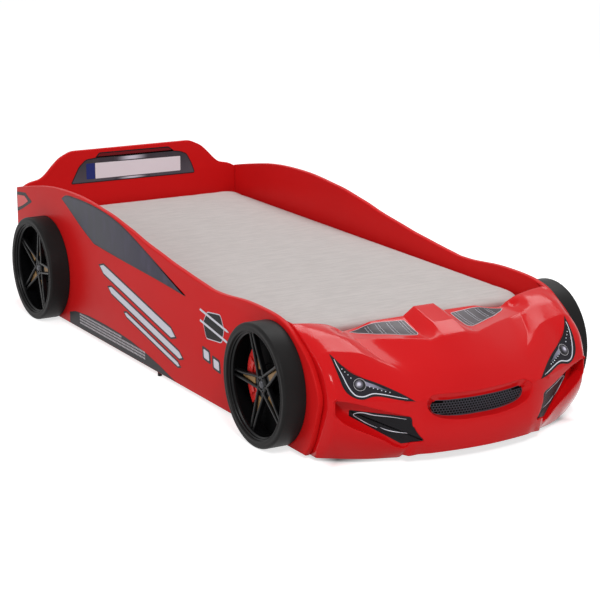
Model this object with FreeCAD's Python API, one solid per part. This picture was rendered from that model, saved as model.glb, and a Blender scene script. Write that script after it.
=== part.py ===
"""Children's car bed: shaped side panels, a headboard and a moulded nose round a slatted base.

Millimetres. X runs across the bed, Y from the nose (-Y) to the headboard (+Y), Z up from the floor.
"""
import FreeCAD
import Part
import math
import os

V = FreeCAD.Vector

# ---- driving dimensions -------------------------------------------------------------------------
MATTRESS_WIDTH = 900.0
MATTRESS_LENGTH = 1990.0
MATTRESS_HEIGHT = 140.0          # height of the mattress at its edge
MATTRESS_CROWN = 9.0             # how far its middle stands above the edge
MATTRESS_CORNER = 55.0           # corner radius in plan
MATTRESS_EDGE = 7.0              # how far its edges are drawn in
MATTRESS_WAIST = 5.0             # and its sides, half way up
MATTRESS_SIDE_GAP = 10.0         # mattress to side panel, each side
MATTRESS_END_GAP = 3.0           # mattress to headboard
MATTRESS_FOOT_GAP = 4.0          # mattress to front cross panel
SLEEP_HEIGHT = 200.0             # top of the slats above the floor

BOARD = 18.0                     # thickness of every lacquered board
PANEL_LIFT = 13.0                # side panels above the floor, the height of the glides
REAR_OVERHANG = 9.0              # side panels run on behind the headboard
HEADBOARD_TOP = 563.0
HEADBOARD_FOOT = 60.0
CROSS_PANEL_TOP = 292.0
CROSS_PANEL_FOOT = 60.0

REAR_HEIGHT = 440.0              # side panel, at its rear end
CREST_HEIGHT = 508.0             # side panel, highest point
WAIST_HEIGHT = 387.0             # side panel, at the kink behind the front wheel
FRONT_HUMP_HEIGHT = 402.0        # side panel, over the front wheel
WAIST_FROM_NOSE = 488.0          # kink behind the rear edge of the nose
PANEL_FRONT_REACH = 180.0        # side panel, foremost point ahead of the rear edge of the nose
# window hump: share of the way from the kink to the rear end, share of the rise over the kink
WINDOW_HUMP = ((0.91, 0.661), (0.79, 0.909), (0.64, 1.0), (0.51, 0.959), (0.36, 0.66), (0.22, 0.34),
               (0.09, 0.12))
# wheel hump: behind the rear edge of the nose, under the top of the hump
WHEEL_HUMP = ((358.0, 8.25), (228.0, 0.0), (105.0, 2.0), (15.0, 16.0))
# front end, downward: behind the foremost point, under the top of the wheel hump
PANEL_FRONT = ((107.0, 61.0), (26.0, 131.0), (0.0, 200.0))
PANEL_CHIN = ((24.0, 95.0), (78.0, 0.0))          # behind the foremost point, over the panel's foot
# headboard, upward: in from its end, under its top
HEADBOARD_SHOULDER = ((0.0, 120.0), (48.0, 103.0), (69.0, 98.0))
HEADBOARD_SLOPE = ((69.0, 98.0), (113.0, 62.0), (157.0, 22.0), (220.0, 0.0))

NOSE_LENGTH = 335.0
NOSE_BEHIND_GAP = 63.0           # front cross panel to the rear edge of the nose
NOSE_WALL = 4.0
NOSE_SIDE_GAP = 0.5              # nose to the side panels
INLAY = 1.2                      # thickness of the lamp and vent inlays
INLAY_LIFT = 0.3                 # their bed of glue

WHEEL_DIAMETER = 382.0
WHEEL_DEPTH = 76.0               # how far a wheel stands out from its panel
TYRE_RING = 26.0                 # radial width of the tyre wall
TYRE_SHOULDER = 10.0
TYRE_BEVEL = 4.0
RIM_WALL = 4.0
SPOKE_COUNT = 5
SPOKE_ROOT_SPREAD = 38.0         # the two ribs of a spoke, apart at the hub
SPOKE_TIP_SPREAD = 15.0          # and at the rim
RIB_WIDTH = 8.5
RIB_DEPTH = 15.0
HUB_RADIUS = 29.0
HUB_BEVEL = 3.0
HUB_SKIRT = 6.0                  # the hub runs on behind the floor of the spokes
RIM_SET_BACK = 6.0               # rim edge behind the tyre's face
RIM_LEDGE = 4.0                  # inner step of the barrel, in front of the spokes
RIM_STEP = 9.0                   # and how far it stands in
SPOKE_FLOOR = 5.0                # thickness of the floor between the ribs
RIB_BEVEL = 2.0
WEDGE_INNER = 43.0               # bronze wedges between the ribs, from this radius
WEDGE_OUTER = 118.0              # to this one
WEDGE_SHARE = 0.54               # and this share of the way across the space
CAP_RADIUS = 13.0
CAP_HEIGHT = 6.0
FRONT_AXLE_BEHIND_NOSE = 77.0    # front wheel centre behind the rear edge of the nose
REAR_AXLE_FROM_END = 307.0       # rear wheel centre ahead of the rear end
FRONT_WHEEL_TURN = 180.0         # direction of the first spoke, degrees from the front
REAR_WHEEL_TURN = 5.0
CALIPER_SWEEP = 86.0             # degrees
CALIPER_INNER = 76.0
CALIPER_OUTER = 128.0
CALIPER_DEPTH = 16.0

RAIL_WIDTH = 28.0
RAIL_HEIGHT = 45.0
SLAT_WIDTH = 80.0
SLAT_THICKNESS = 18.0
SLAT_COUNT = 12
SLAT_FROM_END = 20.0             # first and last slat from the boards
SLAT_CHAMFER = 3.0
SLAT_END_GAP = 2.0
BEAM_WIDTH = 40.0
BEAM_HEIGHT = 45.0
LEG_SIDE = 40.0
SHOE_DEPTH = 35.0                # beam shoes, along the beam
SHOE_HEIGHT = 30.0

BRACKET_LEG = 45.0
BRACKET_WIDTH = 30.0
BRACKET_THICKNESS = 2.5
STUD_SIDES = 6                   # facets of a screw or a boss
SCREW_RADIUS = 3.0
SCREW_HEAD_RADIUS = 6.0
SCREW_HEAD_HEIGHT = 3.0
SCREW_BITE = 12.0                # how far a screw reaches into a board
GLIDE_RADIUS = 8.0
GLIDE_FROM_END = 120.0           # end glides from the rear end and from the rear edge of the nose
FIT = 0.3                        # running clearance between separate round pieces
BACKING = 8.0                    # thickness of the disc behind the spokes
BOSS_RADIUS = 10.0
BOSS_DEPTH = 16.0
BOSS_FLOOR = 2.0                 # what a boss keeps in front of its screw hole
WHEEL_SCREW_SIDE = 45.0          # wheel screws ahead of and behind the axle
WHEEL_SCREW_OVER = 14.0          # upper wheel screw heads over the slats
WHEEL_SCREW_UNDER = 5.0          # lower wheel screw heads under the slat rail
SPOKE_FACE_X = 54.0              # front of the spokes at the rim, out from the panel
SPOKE_DISH = 8.0                 # the hub lies this much further in
BRACKET_BELOW_RAIL = 19.0        # corner brackets under the slat rails
RAIL_SCREWS = 6
RAIL_SCREW_FROM_END = 60.0
NOSE_SCREWS = ((45.0, 300.0), (120.0, 190.0), (45.0, 80.0))   # ahead of the nose's rear edge, height

# Outlines on the nose: (distance from the middle, height), heights above the floor.
INTAKE_OUTLINE = ((239.0, 152.0), (449.0, 213.0), (449.0, 160.0), (255.0, 49.0), (200.0, 74.0))
INTAKE_INNER_AHEAD = 301.0
INTAKE_SLANT = 0.63
INTAKE_LEAN = 0.13
FOG_OUTLINE = ((239.0, 150.0), (388.0, 165.0), (386.0, 150.0), (256.0, 68.0), (202.0, 76.0))
LAMP_UPPER = ((424.0, 328.0), (408.0, 307.0), (388.0, 284.0), (369.0, 270.0), (340.0, 257.0), (310.0, 244.0),
              (286.0, 232.0), (259.0, 217.0), (225.0, 195.0))
LAMP_LOWER = ((225.0, 195.0), (265.0, 201.0), (305.0, 210.0), (330.0, 214.0), (350.0, 211.5), (366.0, 208.0),
              (385.0, 211.0), (404.0, 222.0), (416.0, 238.0), (421.5, 262.0), (424.0, 290.0), (424.0, 328.0))
VENT_OUTLINE = ((84.0, 20.0), (162.0, 10.0), (225.0, 8.0), (278.0, 20.0), (160.0, 90.0), (99.0, 120.0),
                (88.0, 104.0))
GRILLE_OUTLINE = ((0.0, 171.5), (75.0, 176.0), (125.0, 182.0), (156.0, 185.0), (168.0, 180.0), (166.0, 166.0),
                  (152.0, 152.0), (130.0, 140.5), (90.0, 132.5), (45.0, 130.0), (0.0, 129.5))
GRILLE_HALF = 169.0
GRILLE_MIDDLE = 151.0
GRILLE_SPAN = 28.0               # half the height of the grille
GRILLE_AHEAD = 302.0             # front of the grille ahead of the rear edge of the nose, in the middle
GRILLE_BOW = 13.0                # how far its ends curve back
GRILLE_THICKNESS = 22.0
GRILLE_FLARE = 20.0
GRILLE_ROWS = 5
GRILLE_PITCH_X = 15.0
GRILLE_PITCH_Z = 8.5

# ---- sizes worked out from them -----------------------------------------------------------------
INNER_HALF = MATTRESS_WIDTH / 2 + MATTRESS_SIDE_GAP
OUTER_HALF = INNER_HALF + BOARD
NOSE_HALF = INNER_HALF - NOSE_SIDE_GAP
LENGTH = (REAR_OVERHANG + BOARD + MATTRESS_END_GAP + MATTRESS_LENGTH + MATTRESS_FOOT_GAP + BOARD
          + NOSE_BEHIND_GAP + NOSE_LENGTH)
REAR_Y = LENGTH / 2
HEADBOARD_Y = REAR_Y - REAR_OVERHANG - BOARD             # front face of the headboard
MATTRESS_REAR_Y = HEADBOARD_Y - MATTRESS_END_GAP
MATTRESS_FRONT_Y = MATTRESS_REAR_Y - MATTRESS_LENGTH
CROSS_PANEL_Y = MATTRESS_FRONT_Y - MATTRESS_FOOT_GAP - BOARD
NOSE_Y = CROSS_PANEL_Y - NOSE_BEHIND_GAP                 # rear edge of the nose
WHEEL_RADIUS = WHEEL_DIAMETER / 2
RIM_RADIUS = WHEEL_RADIUS - TYRE_RING
SPOKE_FLOOR_X = SPOKE_FACE_X - RIB_DEPTH - 4              # back of the floor between the ribs
FRONT_AXLE_Y = NOSE_Y + FRONT_AXLE_BEHIND_NOSE
REAR_AXLE_Y = REAR_Y - REAR_AXLE_FROM_END
WAIST_Y = NOSE_Y + WAIST_FROM_NOSE
RAIL_TOP = SLEEP_HEIGHT - SLAT_THICKNESS
RAIL_FOOT = RAIL_TOP - RAIL_HEIGHT
BRACKET_TOP = RAIL_FOOT - BRACKET_BELOW_RAIL
BRACKET_LEVEL = BRACKET_TOP - BRACKET_WIDTH / 2          # height of the corner-bracket screws
BRACKET_REACH = 0.66 * BRACKET_LEG                       # corner-bracket screws from the corner


# ---- small helpers ------------------------------------------------------------------------------
def box(x0, x1, y0, y1, z0, z1):
    """A box between two corners."""
    return Part.makeBox(x1 - x0, y1 - y0, z1 - z0, V(x0, y0, z0))


def stud(radius, start, end):
    """A faceted bar from one point to another, its corners on the radius."""
    axis = end - start
    wire = polygon([V(radius * math.cos(a), radius * math.sin(a), 0)
                    for a in [2 * math.pi * i / STUD_SIDES for i in range(STUD_SIDES)]])
    bar = prism(wire, V(0, 0, axis.Length))
    bar.Placement = FreeCAD.Placement(start, FreeCAD.Rotation(V(0, 0, 1), axis))
    return bar


def spline(points):
    """One smooth edge through the points."""
    curve = Part.BSplineCurve()
    curve.interpolate(points)
    return curve.toShape()


def polygon(points):
    """A closed flat wire through the points."""
    return Part.makePolygon(points + points[:1])


def prism(wire, direction):
    """A solid swept from a flat closed wire."""
    return Part.Face(wire).extrude(direction)


def fuse(shapes):
    """One clean solid out of overlapping ones."""
    return shapes[0].multiFuse(shapes[1:]).removeSplitter()


def flip(shape):
    """The same piece for the other side of the bed."""
    return shape.mirror(V(0, 0, 0), V(1, 0, 0))


def along(table, x):
    """Straight-line interpolation in a table of (x, value, value...) rows."""
    for low, high in zip(table, table[1:]):
        if x <= high[0]:
            share = (x - low[0]) / (high[0] - low[0])
            return [a + (b - a) * share for a, b in zip(low[1:], high[1:])]
    return list(table[-1][1:])


# ---- side panels --------------------------------------------------------------------------------
def panel_outline(x):
    """Outline of a side panel: window hump, waist, wheel hump and a rounded front end."""
    hump = REAR_Y - WAIST_Y
    rise = CREST_HEIGHT - WAIST_HEIGHT
    kink = V(x, WAIST_Y, WAIST_HEIGHT)
    window = [V(x, REAR_Y, REAR_HEIGHT)]
    window += [V(x, WAIST_Y + share * hump, WAIST_HEIGHT + lift * rise) for share, lift in WINDOW_HUMP]
    window.append(kink)
    wheel = [kink] + [V(x, NOSE_Y + behind, FRONT_HUMP_HEIGHT - under) for behind, under in WHEEL_HUMP]
    tip = NOSE_Y - PANEL_FRONT_REACH
    front = wheel[-1:] + [V(x, tip + behind, FRONT_HUMP_HEIGHT - under) for behind, under in PANEL_FRONT]
    front += [V(x, tip + behind, PANEL_LIFT + over) for behind, over in PANEL_CHIN]
    foot = V(x, REAR_Y, PANEL_LIFT)
    return Part.Wire([spline(window), spline(wheel), spline(front), Part.makeLine(front[-1], foot),
                      Part.makeLine(foot, window[0])])


def side_panel():
    """The left panel, with the holes of everything that is screwed to it."""
    panel = prism(panel_outline(INNER_HALF), V(BOARD, 0, 0))
    cuts = [stud(SCREW_RADIUS, V(INNER_HALF, y, z), V(OUTER_HALF, y, z)) for y, z in wheel_screw_places()]
    cuts += [stud(SCREW_RADIUS, V(INNER_HALF, y, z), V(INNER_HALF + SCREW_BITE, y, z))
             for y, z in rail_screw_places() + bracket_screw_places() + nose_screw_places()]
    return panel.cut(Part.Compound(cuts))


def headboard():
    """Board across the rear end, with a raised middle like a car's roof seen from behind."""
    half, y = INNER_HALF, HEADBOARD_Y
    shoulder, slope = [[V(half - inward, y, HEADBOARD_TOP - under) for inward, under in table]
                       for table in (HEADBOARD_SHOULDER, HEADBOARD_SLOPE)]
    side = [spline(shoulder), spline(slope)]
    top = Part.makeLine(slope[-1], V(-slope[-1].x, y, HEADBOARD_TOP))
    right, left = V(half, y, HEADBOARD_FOOT), V(-half, y, HEADBOARD_FOOT)
    ends = [Part.makeLine(right, shoulder[0]), Part.makeLine(right, left),
            Part.makeLine(left, V(-half, y, shoulder[0].z))]
    outline = Part.Wire(Part.__sortEdges__(side + [top] + [flip(edge) for edge in side] + ends))
    board = prism(outline, V(0, BOARD, 0))
    return board.cut(Part.Compound([stud(SCREW_RADIUS, V(x, y, z), V(x, y + SCREW_BITE, z))
                                    for x, z in board_screw_places()]))


def front_cross_panel():
    """Low board that closes the front end of the mattress space behind the nose."""
    face = CROSS_PANEL_Y + BOARD
    board = box(-INNER_HALF, INNER_HALF, CROSS_PANEL_Y, face, CROSS_PANEL_FOOT, CROSS_PANEL_TOP)
    cuts = [stud(SCREW_RADIUS, V(x, face, z), V(x, face - SCREW_BITE, z)) for x, z in board_screw_places()]
    return board.cut(Part.Compound(cuts))


# ---- moulded nose -------------------------------------------------------------------------------
# Each row: distance from the middle, then how far the ring lies ahead of the rear edge and its height.
REAR_RING = ((0, 0, 386), (36, 0, 386), (74, 0, 360), (185, 0, 359), (235, 0, 348), (285, 0, 342),
             (312, 0, 356), (345, 0, 370), (405, 0, 382), (460, 0, 388))
FLOOR_RING = ((0, 107, 361), (38, 107, 361), (84, 116, 332), (130, 98, 334), (200, 66, 340),
              (285, 40, 342), (320, 40, 352), (370, 40, 371), (425, 40, 376), (460, 40, 372))
LIP_RING = ((0, 172, 338), (40, 172, 336), (87, 167, 330), (130, 148, 333), (209, 112, 338),
            (291, 75, 345), (325, 75, 353), (370, 72, 363), (425, 70, 366), (445, 68, 364), (460, 65, 358))
CREASE_RING = ((0, 228, 302), (87, 223, 294), (209, 192, 292), (254, 185, 296), (276, 178, 302),
               (301, 172, 309), (326, 160, 318), (370, 150, 325), (421, 145, 332), (445, 145, 326),
               (460, 145, 312))
LAMP_RING = ((0, 280, 248), (87, 274, 243), (209, 255, 250), (254, 236, 262), (291, 222, 268),
             (326, 210, 274), (370, 203, 270), (421, 198, 277), (445, 194, 276), (460, 182, 277))
BROW_RING = ((0, 315, 193), (170, 309, 194), (225, 303, 195), (254, 295, 198), (326, 265, 204),
             (370, 248, 208), (421, 233, 211), (445, 226, 212), (460, 209, 208))
CHEEK_RING = ((0, 328, 140), (170, 320, 142), (205, 313, 146), (240, 302, 150), (255, 296, 150),
              (326, 268, 160), (370, 249, 168), (421, 233, 178), (445, 226, 180), (460, 209, 176))
LOWER_RING = ((0, 335, 82), (40, 335, 82), (170, 326, 80), (205, 316, 74), (240, 287, 55), (255, 280, 44),
              (326, 260, 80), (370, 248, 102), (405, 238, 121), (434, 229, 143), (445, 226, 156),
              (460, 201, 156))
FOOT_RING = ((0, 330, 33), (170, 312, 32), (205, 297, 30), (240, 256, 16), (255, 250, 14),
             (326, 222, 14), (370, 198, 14), (421, 163, 14), (445, 147, 14), (460, 134, 14))
NOSE_STATIONS = (40, 84, 130, 205, 240, 255, 285, 325, 370, 421, 445, 460)
NOSE_TABLE_HALF = 460.0          # the half width at which the rings above were measured
NOSE_TABLE_LENGTH = 335.0
NOSE_OVERRUN = 40.0              # the hollow runs out past the open back and foot of the nose


def nose_section(x, outward):
    """Closed section of the nose at x, its skin moved outward by a thickness (inward if negative)."""
    where = abs(x) * NOSE_TABLE_HALF / NOSE_HALF
    rings = [along(ring, where) for ring in (REAR_RING, FLOOR_RING, LIP_RING, CREASE_RING, LAMP_RING,
                                             BROW_RING, CHEEK_RING, LOWER_RING, FOOT_RING)]
    points = [V(x, nose_y(ahead), height) for ahead, height in rings]
    moved = []
    for i, point in enumerate(points):
        run = points[min(i + 1, len(points) - 1)] - points[max(i - 1, 0)]
        moved.append(point + V(0, run.z, -run.y).normalize() * outward)
    if outward < 0:
        moved[0] += (moved[0] - moved[1]).normalize() * NOSE_OVERRUN
        moved[-1] += (moved[-1] - moved[-2]).normalize() * NOSE_OVERRUN
    low = V(x, moved[0].y, moved[-1].z)
    return Part.Wire([spline(moved[:3]), spline(moved[2:6]), spline(moved[5:]),
                      Part.makeLine(moved[-1], low), Part.makeLine(low, moved[0])])


def nose_block(outward):
    """The nose as a full block, its skin moved outward by a thickness."""
    sides = [NOSE_HALF * x / NOSE_TABLE_HALF for x in NOSE_STATIONS]
    reach = min(outward, 0.0) / sides[-1] + 1.0
    sides = [x * reach for x in sides]
    places = [-x for x in reversed(sides)] + sides
    return Part.makeLoft([nose_section(x, outward) for x in places], True, True)


def nose_y(ahead):
    """Y of a place measured ahead of the rear edge of the nose."""
    return NOSE_Y - ahead * NOSE_LENGTH / NOSE_TABLE_LENGTH


def intake_back(x, z):
    """Y of the slanting back wall of an intake, at the inside corner and outward from it."""
    corner_x, corner_z = INTAKE_OUTLINE[0]
    return nose_y(INTAKE_INNER_AHEAD) + INTAKE_SLANT * (x - corner_x) + INTAKE_LEAN * (corner_z - z)


def intake_pocket(growth):
    """Side air intake: a wedge that deepens outward, its walls moved outward by a growth."""
    middle_x = sum(x for x, z in INTAKE_OUTLINE) / len(INTAKE_OUTLINE)
    middle_z = sum(z for x, z in INTAKE_OUTLINE) / len(INTAKE_OUTLINE)
    corners = []
    for x, z in INTAKE_OUTLINE:
        share = 1 + growth / math.hypot(x - middle_x, z - middle_z)
        corners.append((middle_x + (x - middle_x) * share, middle_z + (z - middle_z) * share))
    back = [V(x, intake_back(x, z) + growth, z) for x, z in corners]
    front = [V(x, nose_y(NOSE_TABLE_LENGTH + 40), z) for x, z in corners]
    return Part.makeLoft([polygon(back), polygon(front)], True, True)


def grille_wire(y, spread):
    """Outline of the grille opening at y, its edge moved outward by a spread."""
    half = []
    for x, z in GRILLE_OUTLINE:
        half.append((x + spread * x / GRILLE_HALF, z + spread * (z - GRILLE_MIDDLE) / GRILLE_SPAN))
    points = [V(x, y, z) for x, z in half] + [V(-x, y, z) for x, z in reversed(half[1:-1])]
    curve = Part.BSplineCurve()
    curve.interpolate(points, PeriodicFlag=True)
    return Part.Wire(curve.toShape())


def grille_tunnel(growth):
    """Flared way from the nose's face back to the grille."""
    throat = nose_y(GRILLE_AHEAD - GRILLE_THICKNESS)
    waist = nose_y(GRILLE_AHEAD)
    mouth = nose_y(NOSE_TABLE_LENGTH + 4)
    straight = prism(grille_wire(throat, growth), V(0, waist - throat, 0))
    flare = Part.makeLoft([grille_wire(waist, growth), grille_wire(mouth, growth + GRILLE_FLARE)], True, False)
    return straight.fuse(flare)


def nose_shell(outer):
    """Hollow moulding: bonnet, bumper, grille tunnel and two intake pockets in one wall thickness."""
    shell = outer.cut(nose_block(-NOSE_WALL))
    linings = [grille_tunnel(NOSE_WALL), intake_pocket(NOSE_WALL), flip(intake_pocket(NOSE_WALL))]
    shell = shell.fuse([lining.common(outer) for lining in linings])
    cuts = [grille_tunnel(0.0), intake_pocket(0.0), flip(intake_pocket(0.0))]
    for side in (1, -1):
        inside = side * (NOSE_HALF - 3 * NOSE_WALL)
        cuts += [stud(SCREW_RADIUS, V(side * NOSE_HALF, y, z), V(inside, y, z)) for y, z in nose_screw_places()]
    return shell.cut(Part.Compound(cuts))


def grille_panel():
    """Bowed mesh: five rows of slots in a plate that fills the throat of the grille tunnel."""
    bow = GRILLE_HALF ** 2 / (2 * GRILLE_BOW)
    front = nose_y(GRILLE_AHEAD)
    centre = V(0, front + bow, GRILLE_OUTLINE[-1][1] - 20)
    height = GRILLE_OUTLINE[0][1] - centre.z + 40
    hollow = Part.makeCylinder(bow - GRILLE_THICKNESS / 2, height, centre)
    plate = Part.makeCylinder(bow, height, centre).cut(hollow)
    plate = plate.common(prism(grille_wire(front - 5, -FIT), V(0, GRILLE_BOW + GRILLE_THICKNESS + 10, 0)))
    slots = []
    for row in range(GRILLE_ROWS):
        z = GRILLE_OUTLINE[-1][1] + GRILLE_PITCH_Z * (row + 0.75)
        columns = int(GRILLE_HALF / GRILLE_PITCH_X)
        for column in range(-columns, columns + 1):
            x = (column + 0.5 * (row % 2)) * GRILLE_PITCH_X
            z_here = z + 10 * (x / GRILLE_HALF) ** 2
            inside = abs(x) < GRILLE_HALF - 22 - 3 * abs(row - GRILLE_ROWS + 2)
            if inside:
                slots.append(box(x - 0.36 * GRILLE_PITCH_X, x + 0.36 * GRILLE_PITCH_X, front - 5, front + 40,
                                 z_here - 0.3 * GRILLE_PITCH_Z, z_here + 0.3 * GRILLE_PITCH_Z))
    return plate.cut(Part.Compound(slots))


def headlamp(skin):
    """Swept lamp on the left of the nose, a thin shaped inlay on the skin."""
    upper = spline([V(x, 0, z) for x, z in LAMP_UPPER])
    lower = spline([V(x, 0, z) for x, z in LAMP_LOWER])
    start = V(0, nose_y(NOSE_TABLE_LENGTH + 20), 0)
    wire = Part.Wire([upper, lower])
    wire.translate(start)
    return skin.common(prism(wire, V(0, 220, 0)))


def bonnet_vent(skin):
    """Louvred outlet on the left of the bonnet, a thin shaped inlay in its hollow."""
    wire = polygon([V(x, nose_y(ahead), 300) for x, ahead in VENT_OUTLINE])
    return skin.common(prism(wire, V(0, 0, 90)))


def fog_panel():
    """Dark mesh panel on the back wall of the left intake."""
    back = [V(x, intake_back(x, z), z) for x, z in FOG_OUTLINE]
    front = [corner - V(0, INLAY, 0) for corner in back]
    return Part.makeLoft([polygon(back), polygon(front)], True, True)


# ---- wheels -------------------------------------------------------------------------------------
# A wheel is built about the X axis with its back at x = 0, then turned and carried to its place.
def ring(profile):
    """A solid of revolution about the X axis from (x, radius) corners."""
    face = Part.Face(polygon([V(x, 0, r) for x, r in profile]))
    return face.revolve(V(0, 0, 0), V(1, 0, 0), 360)


def tyre():
    """Smooth tyre with a two-step tread shoulder, a flat wall ring and a bevelled bore."""
    tread, bore, face, s = WHEEL_RADIUS, RIM_RADIUS, WHEEL_DEPTH, TYRE_SHOULDER
    return ring([(0, bore), (0, tread), (face - s, tread), (face - 0.3 * s, tread - 0.3 * s),
                 (face, tread - s), (face, bore + TYRE_BEVEL), (face - TYRE_BEVEL, bore)])


def spoke_rib(side):
    """One of the two ribs of a spoke, leaning in towards the rim, along +Y."""
    root_x, tip_x = SPOKE_FACE_X - SPOKE_DISH, SPOKE_FACE_X
    wires = []
    for radius, middle, x in ((HUB_RADIUS - 8, SPOKE_ROOT_SPREAD / 2, root_x),
                              (RIM_RADIUS - RIM_WALL - 1, SPOKE_TIP_SPREAD / 2, tip_x)):
        low, high = side * middle - RIB_WIDTH / 2, side * middle + RIB_WIDTH / 2
        b = RIB_BEVEL
        wires.append(polygon([V(x - RIB_DEPTH, radius, low), V(x - b, radius, low), V(x, radius, low + b),
                              V(x, radius, high - b), V(x - b, radius, high), V(x - RIB_DEPTH, radius, high)]))
    return Part.makeLoft(wires, True, True)


def spoke_web(x0, x1, start, end, share):
    """Wedge between the two ribs of a spoke, a share of the way across the space."""
    corners = []
    for radius in (start, end):
        along_spoke = (radius - HUB_RADIUS) / (RIM_RADIUS - HUB_RADIUS)
        half = (SPOKE_ROOT_SPREAD + (SPOKE_TIP_SPREAD - SPOKE_ROOT_SPREAD) * along_spoke) / 2 * share
        corners.append((radius, half))
    (r0, h0), (r1, h1) = corners
    return prism(polygon([V(x0, r0, -h0), V(x0, r1, -h1), V(x0, r1, h1), V(x0, r0, h0)]), V(x1 - x0, 0, 0))


def around(piece, count):
    """Copies of a piece evenly round the X axis."""
    copies = []
    for i in range(count):
        copy = piece.copy()
        copy.rotate(V(0, 0, 0), V(1, 0, 0), 360.0 * i / count)
        copies.append(copy)
    return copies


def rim():
    """Barrel with an inner step, a hub and twin-ribbed spokes with a floor between the ribs."""
    outside = RIM_RADIUS - FIT
    inside = outside - RIM_WALL
    step = SPOKE_FLOOR_X
    face = SPOKE_FACE_X - SPOKE_DISH
    barrel = ring([(BACKING + FIT, outside), (WHEEL_DEPTH - RIM_SET_BACK, outside),
                   (SPOKE_FACE_X + RIM_LEDGE, inside), (SPOKE_FACE_X + RIM_LEDGE / 2, inside - RIM_STEP),
                   (BACKING + FIT, inside - RIM_STEP)])
    hub = ring([(step - HUB_SKIRT, 0), (step - HUB_SKIRT, HUB_RADIUS), (face - HUB_BEVEL, HUB_RADIUS),
                (face, HUB_RADIUS - HUB_BEVEL), (face, 0)])
    spoke = [spoke_rib(1), spoke_rib(-1), spoke_web(step, step + SPOKE_FLOOR, HUB_RADIUS - 8, inside - 2, 1.0)]
    parts = [barrel, hub]
    for piece in spoke:
        parts += around(piece, SPOKE_COUNT)
    return fuse(parts)


def rim_inlays():
    """Bronze wedges laid between the ribs of the spokes."""
    floor = SPOKE_FLOOR_X + SPOKE_FLOOR
    return around(spoke_web(floor, floor + 2, WEDGE_INNER, WEDGE_OUTER, WEDGE_SHARE), SPOKE_COUNT)


def hub_cap():
    """Small domed cap in the middle of the hub."""
    base = SPOKE_FACE_X - SPOKE_DISH
    profile = [(share * CAP_HEIGHT, math.sqrt(1 - share ** 2) * CAP_RADIUS) for share in (0, 0.5, 0.85)]
    return ring([(base, 0)] + [(base + x, r) for x, r in profile] + [(base + profile[-1][0], 0)])


def wheel_backing():
    """Disc behind the spokes, with the screw bosses that hold the wheel to its panel."""
    disc = ring([(0, 0), (0, RIM_RADIUS - FIT), (BACKING, RIM_RADIUS - FIT), (BACKING, 0)])
    bosses = []
    holes = []
    for y, z in wheel_screw_offsets():
        bosses.append(stud(BOSS_RADIUS, V(0, y, z), V(BOSS_DEPTH, y, z)))
        holes.append(stud(SCREW_RADIUS, V(0, y, z), V(BOSS_DEPTH - BOSS_FLOOR, y, z)))
    return fuse([disc] + bosses).cut(Part.Compound(holes))


def sector(x0, x1, r0, r1, sweep):
    """Part of a ring about the X axis, centred on +Y."""
    face = Part.Face(polygon([V(x0, r0, 0), V(x1, r0, 0), V(x1, r1, 0), V(x0, r1, 0)]))
    face.rotate(V(0, 0, 0), V(1, 0, 0), -sweep / 2)
    return face.revolve(V(0, 0, 0), V(1, 0, 0), sweep)


def caliper():
    """Brake caliper look-alike: a curved block with a raised middle, centred on +Y."""
    block = sector(BACKING, BACKING + CALIPER_DEPTH, CALIPER_INNER, CALIPER_OUTER, CALIPER_SWEEP)
    rib = sector(BACKING + CALIPER_DEPTH - 1, BACKING + CALIPER_DEPTH + 4, CALIPER_INNER + 12,
                 CALIPER_OUTER - 12, CALIPER_SWEEP - 20)
    return fuse([block, rib])


def wheel_screw_offsets():
    """Screws of one wheel, as (y, z) from its centre: two over the slats and two under their rail."""
    upper = SLEEP_HEIGHT + WHEEL_SCREW_OVER + SCREW_HEAD_RADIUS - WHEEL_RADIUS
    lower = RAIL_FOOT - WHEEL_SCREW_UNDER - SCREW_HEAD_RADIUS - WHEEL_RADIUS
    return [(y, z) for y in (-WHEEL_SCREW_SIDE, WHEEL_SCREW_SIDE) for z in (lower, upper)]


def wheels():
    """All four wheels, each in its pieces, by node name."""
    nodes = {}
    pieces = {"tyre": [tyre()], "rim": [rim()], "rim_inlays": rim_inlays(), "hub_cap": [hub_cap()],
              "wheel_backing": [wheel_backing()], "caliper": [caliper()]}
    # angles are turned about X from +Y, the rear; a spoke direction is given from the front
    for end, axle_y, turn, caliper_turn in (("front", FRONT_AXLE_Y, 180 - FRONT_WHEEL_TURN, 0),
                                            ("rear", REAR_AXLE_Y, 180 - REAR_WHEEL_TURN, 180)):
        for name, shapes in pieces.items():
            angle = {"rim": turn, "rim_inlays": turn, "caliper": caliper_turn}.get(name, 0)
            placed = []
            for shape in shapes:
                copy = shape.copy()
                copy.rotate(V(0, 0, 0), V(1, 0, 0), angle)
                copy.translate(V(OUTER_HALF, axle_y, WHEEL_RADIUS))
                placed.append(copy)
            nodes[end + "_left_" + name] = placed
            nodes[end + "_right_" + name] = [flip(copy) for copy in placed]
    return nodes


# ---- screws and other fittings ------------------------------------------------------------------
def wheel_screw_places():
    """(y, z) of the wheel screws in a side panel."""
    return [(axle + y, WHEEL_RADIUS + z) for axle in (FRONT_AXLE_Y, REAR_AXLE_Y)
            for y, z in wheel_screw_offsets()]


def rail_screw_places():
    """(y, z) of the screws that hold a slat rail."""
    first, last = CROSS_PANEL_Y + BOARD + RAIL_SCREW_FROM_END, HEADBOARD_Y - RAIL_SCREW_FROM_END
    return [(first + (last - first) * i / (RAIL_SCREWS - 1), (RAIL_TOP + RAIL_FOOT) / 2)
            for i in range(RAIL_SCREWS)]


def bracket_screw_places():
    """(y, z) of the corner-bracket screws in a side panel."""
    front = CROSS_PANEL_Y + BOARD + BRACKET_REACH
    return [(front, BRACKET_LEVEL), (HEADBOARD_Y - BRACKET_REACH, BRACKET_LEVEL)]


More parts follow.
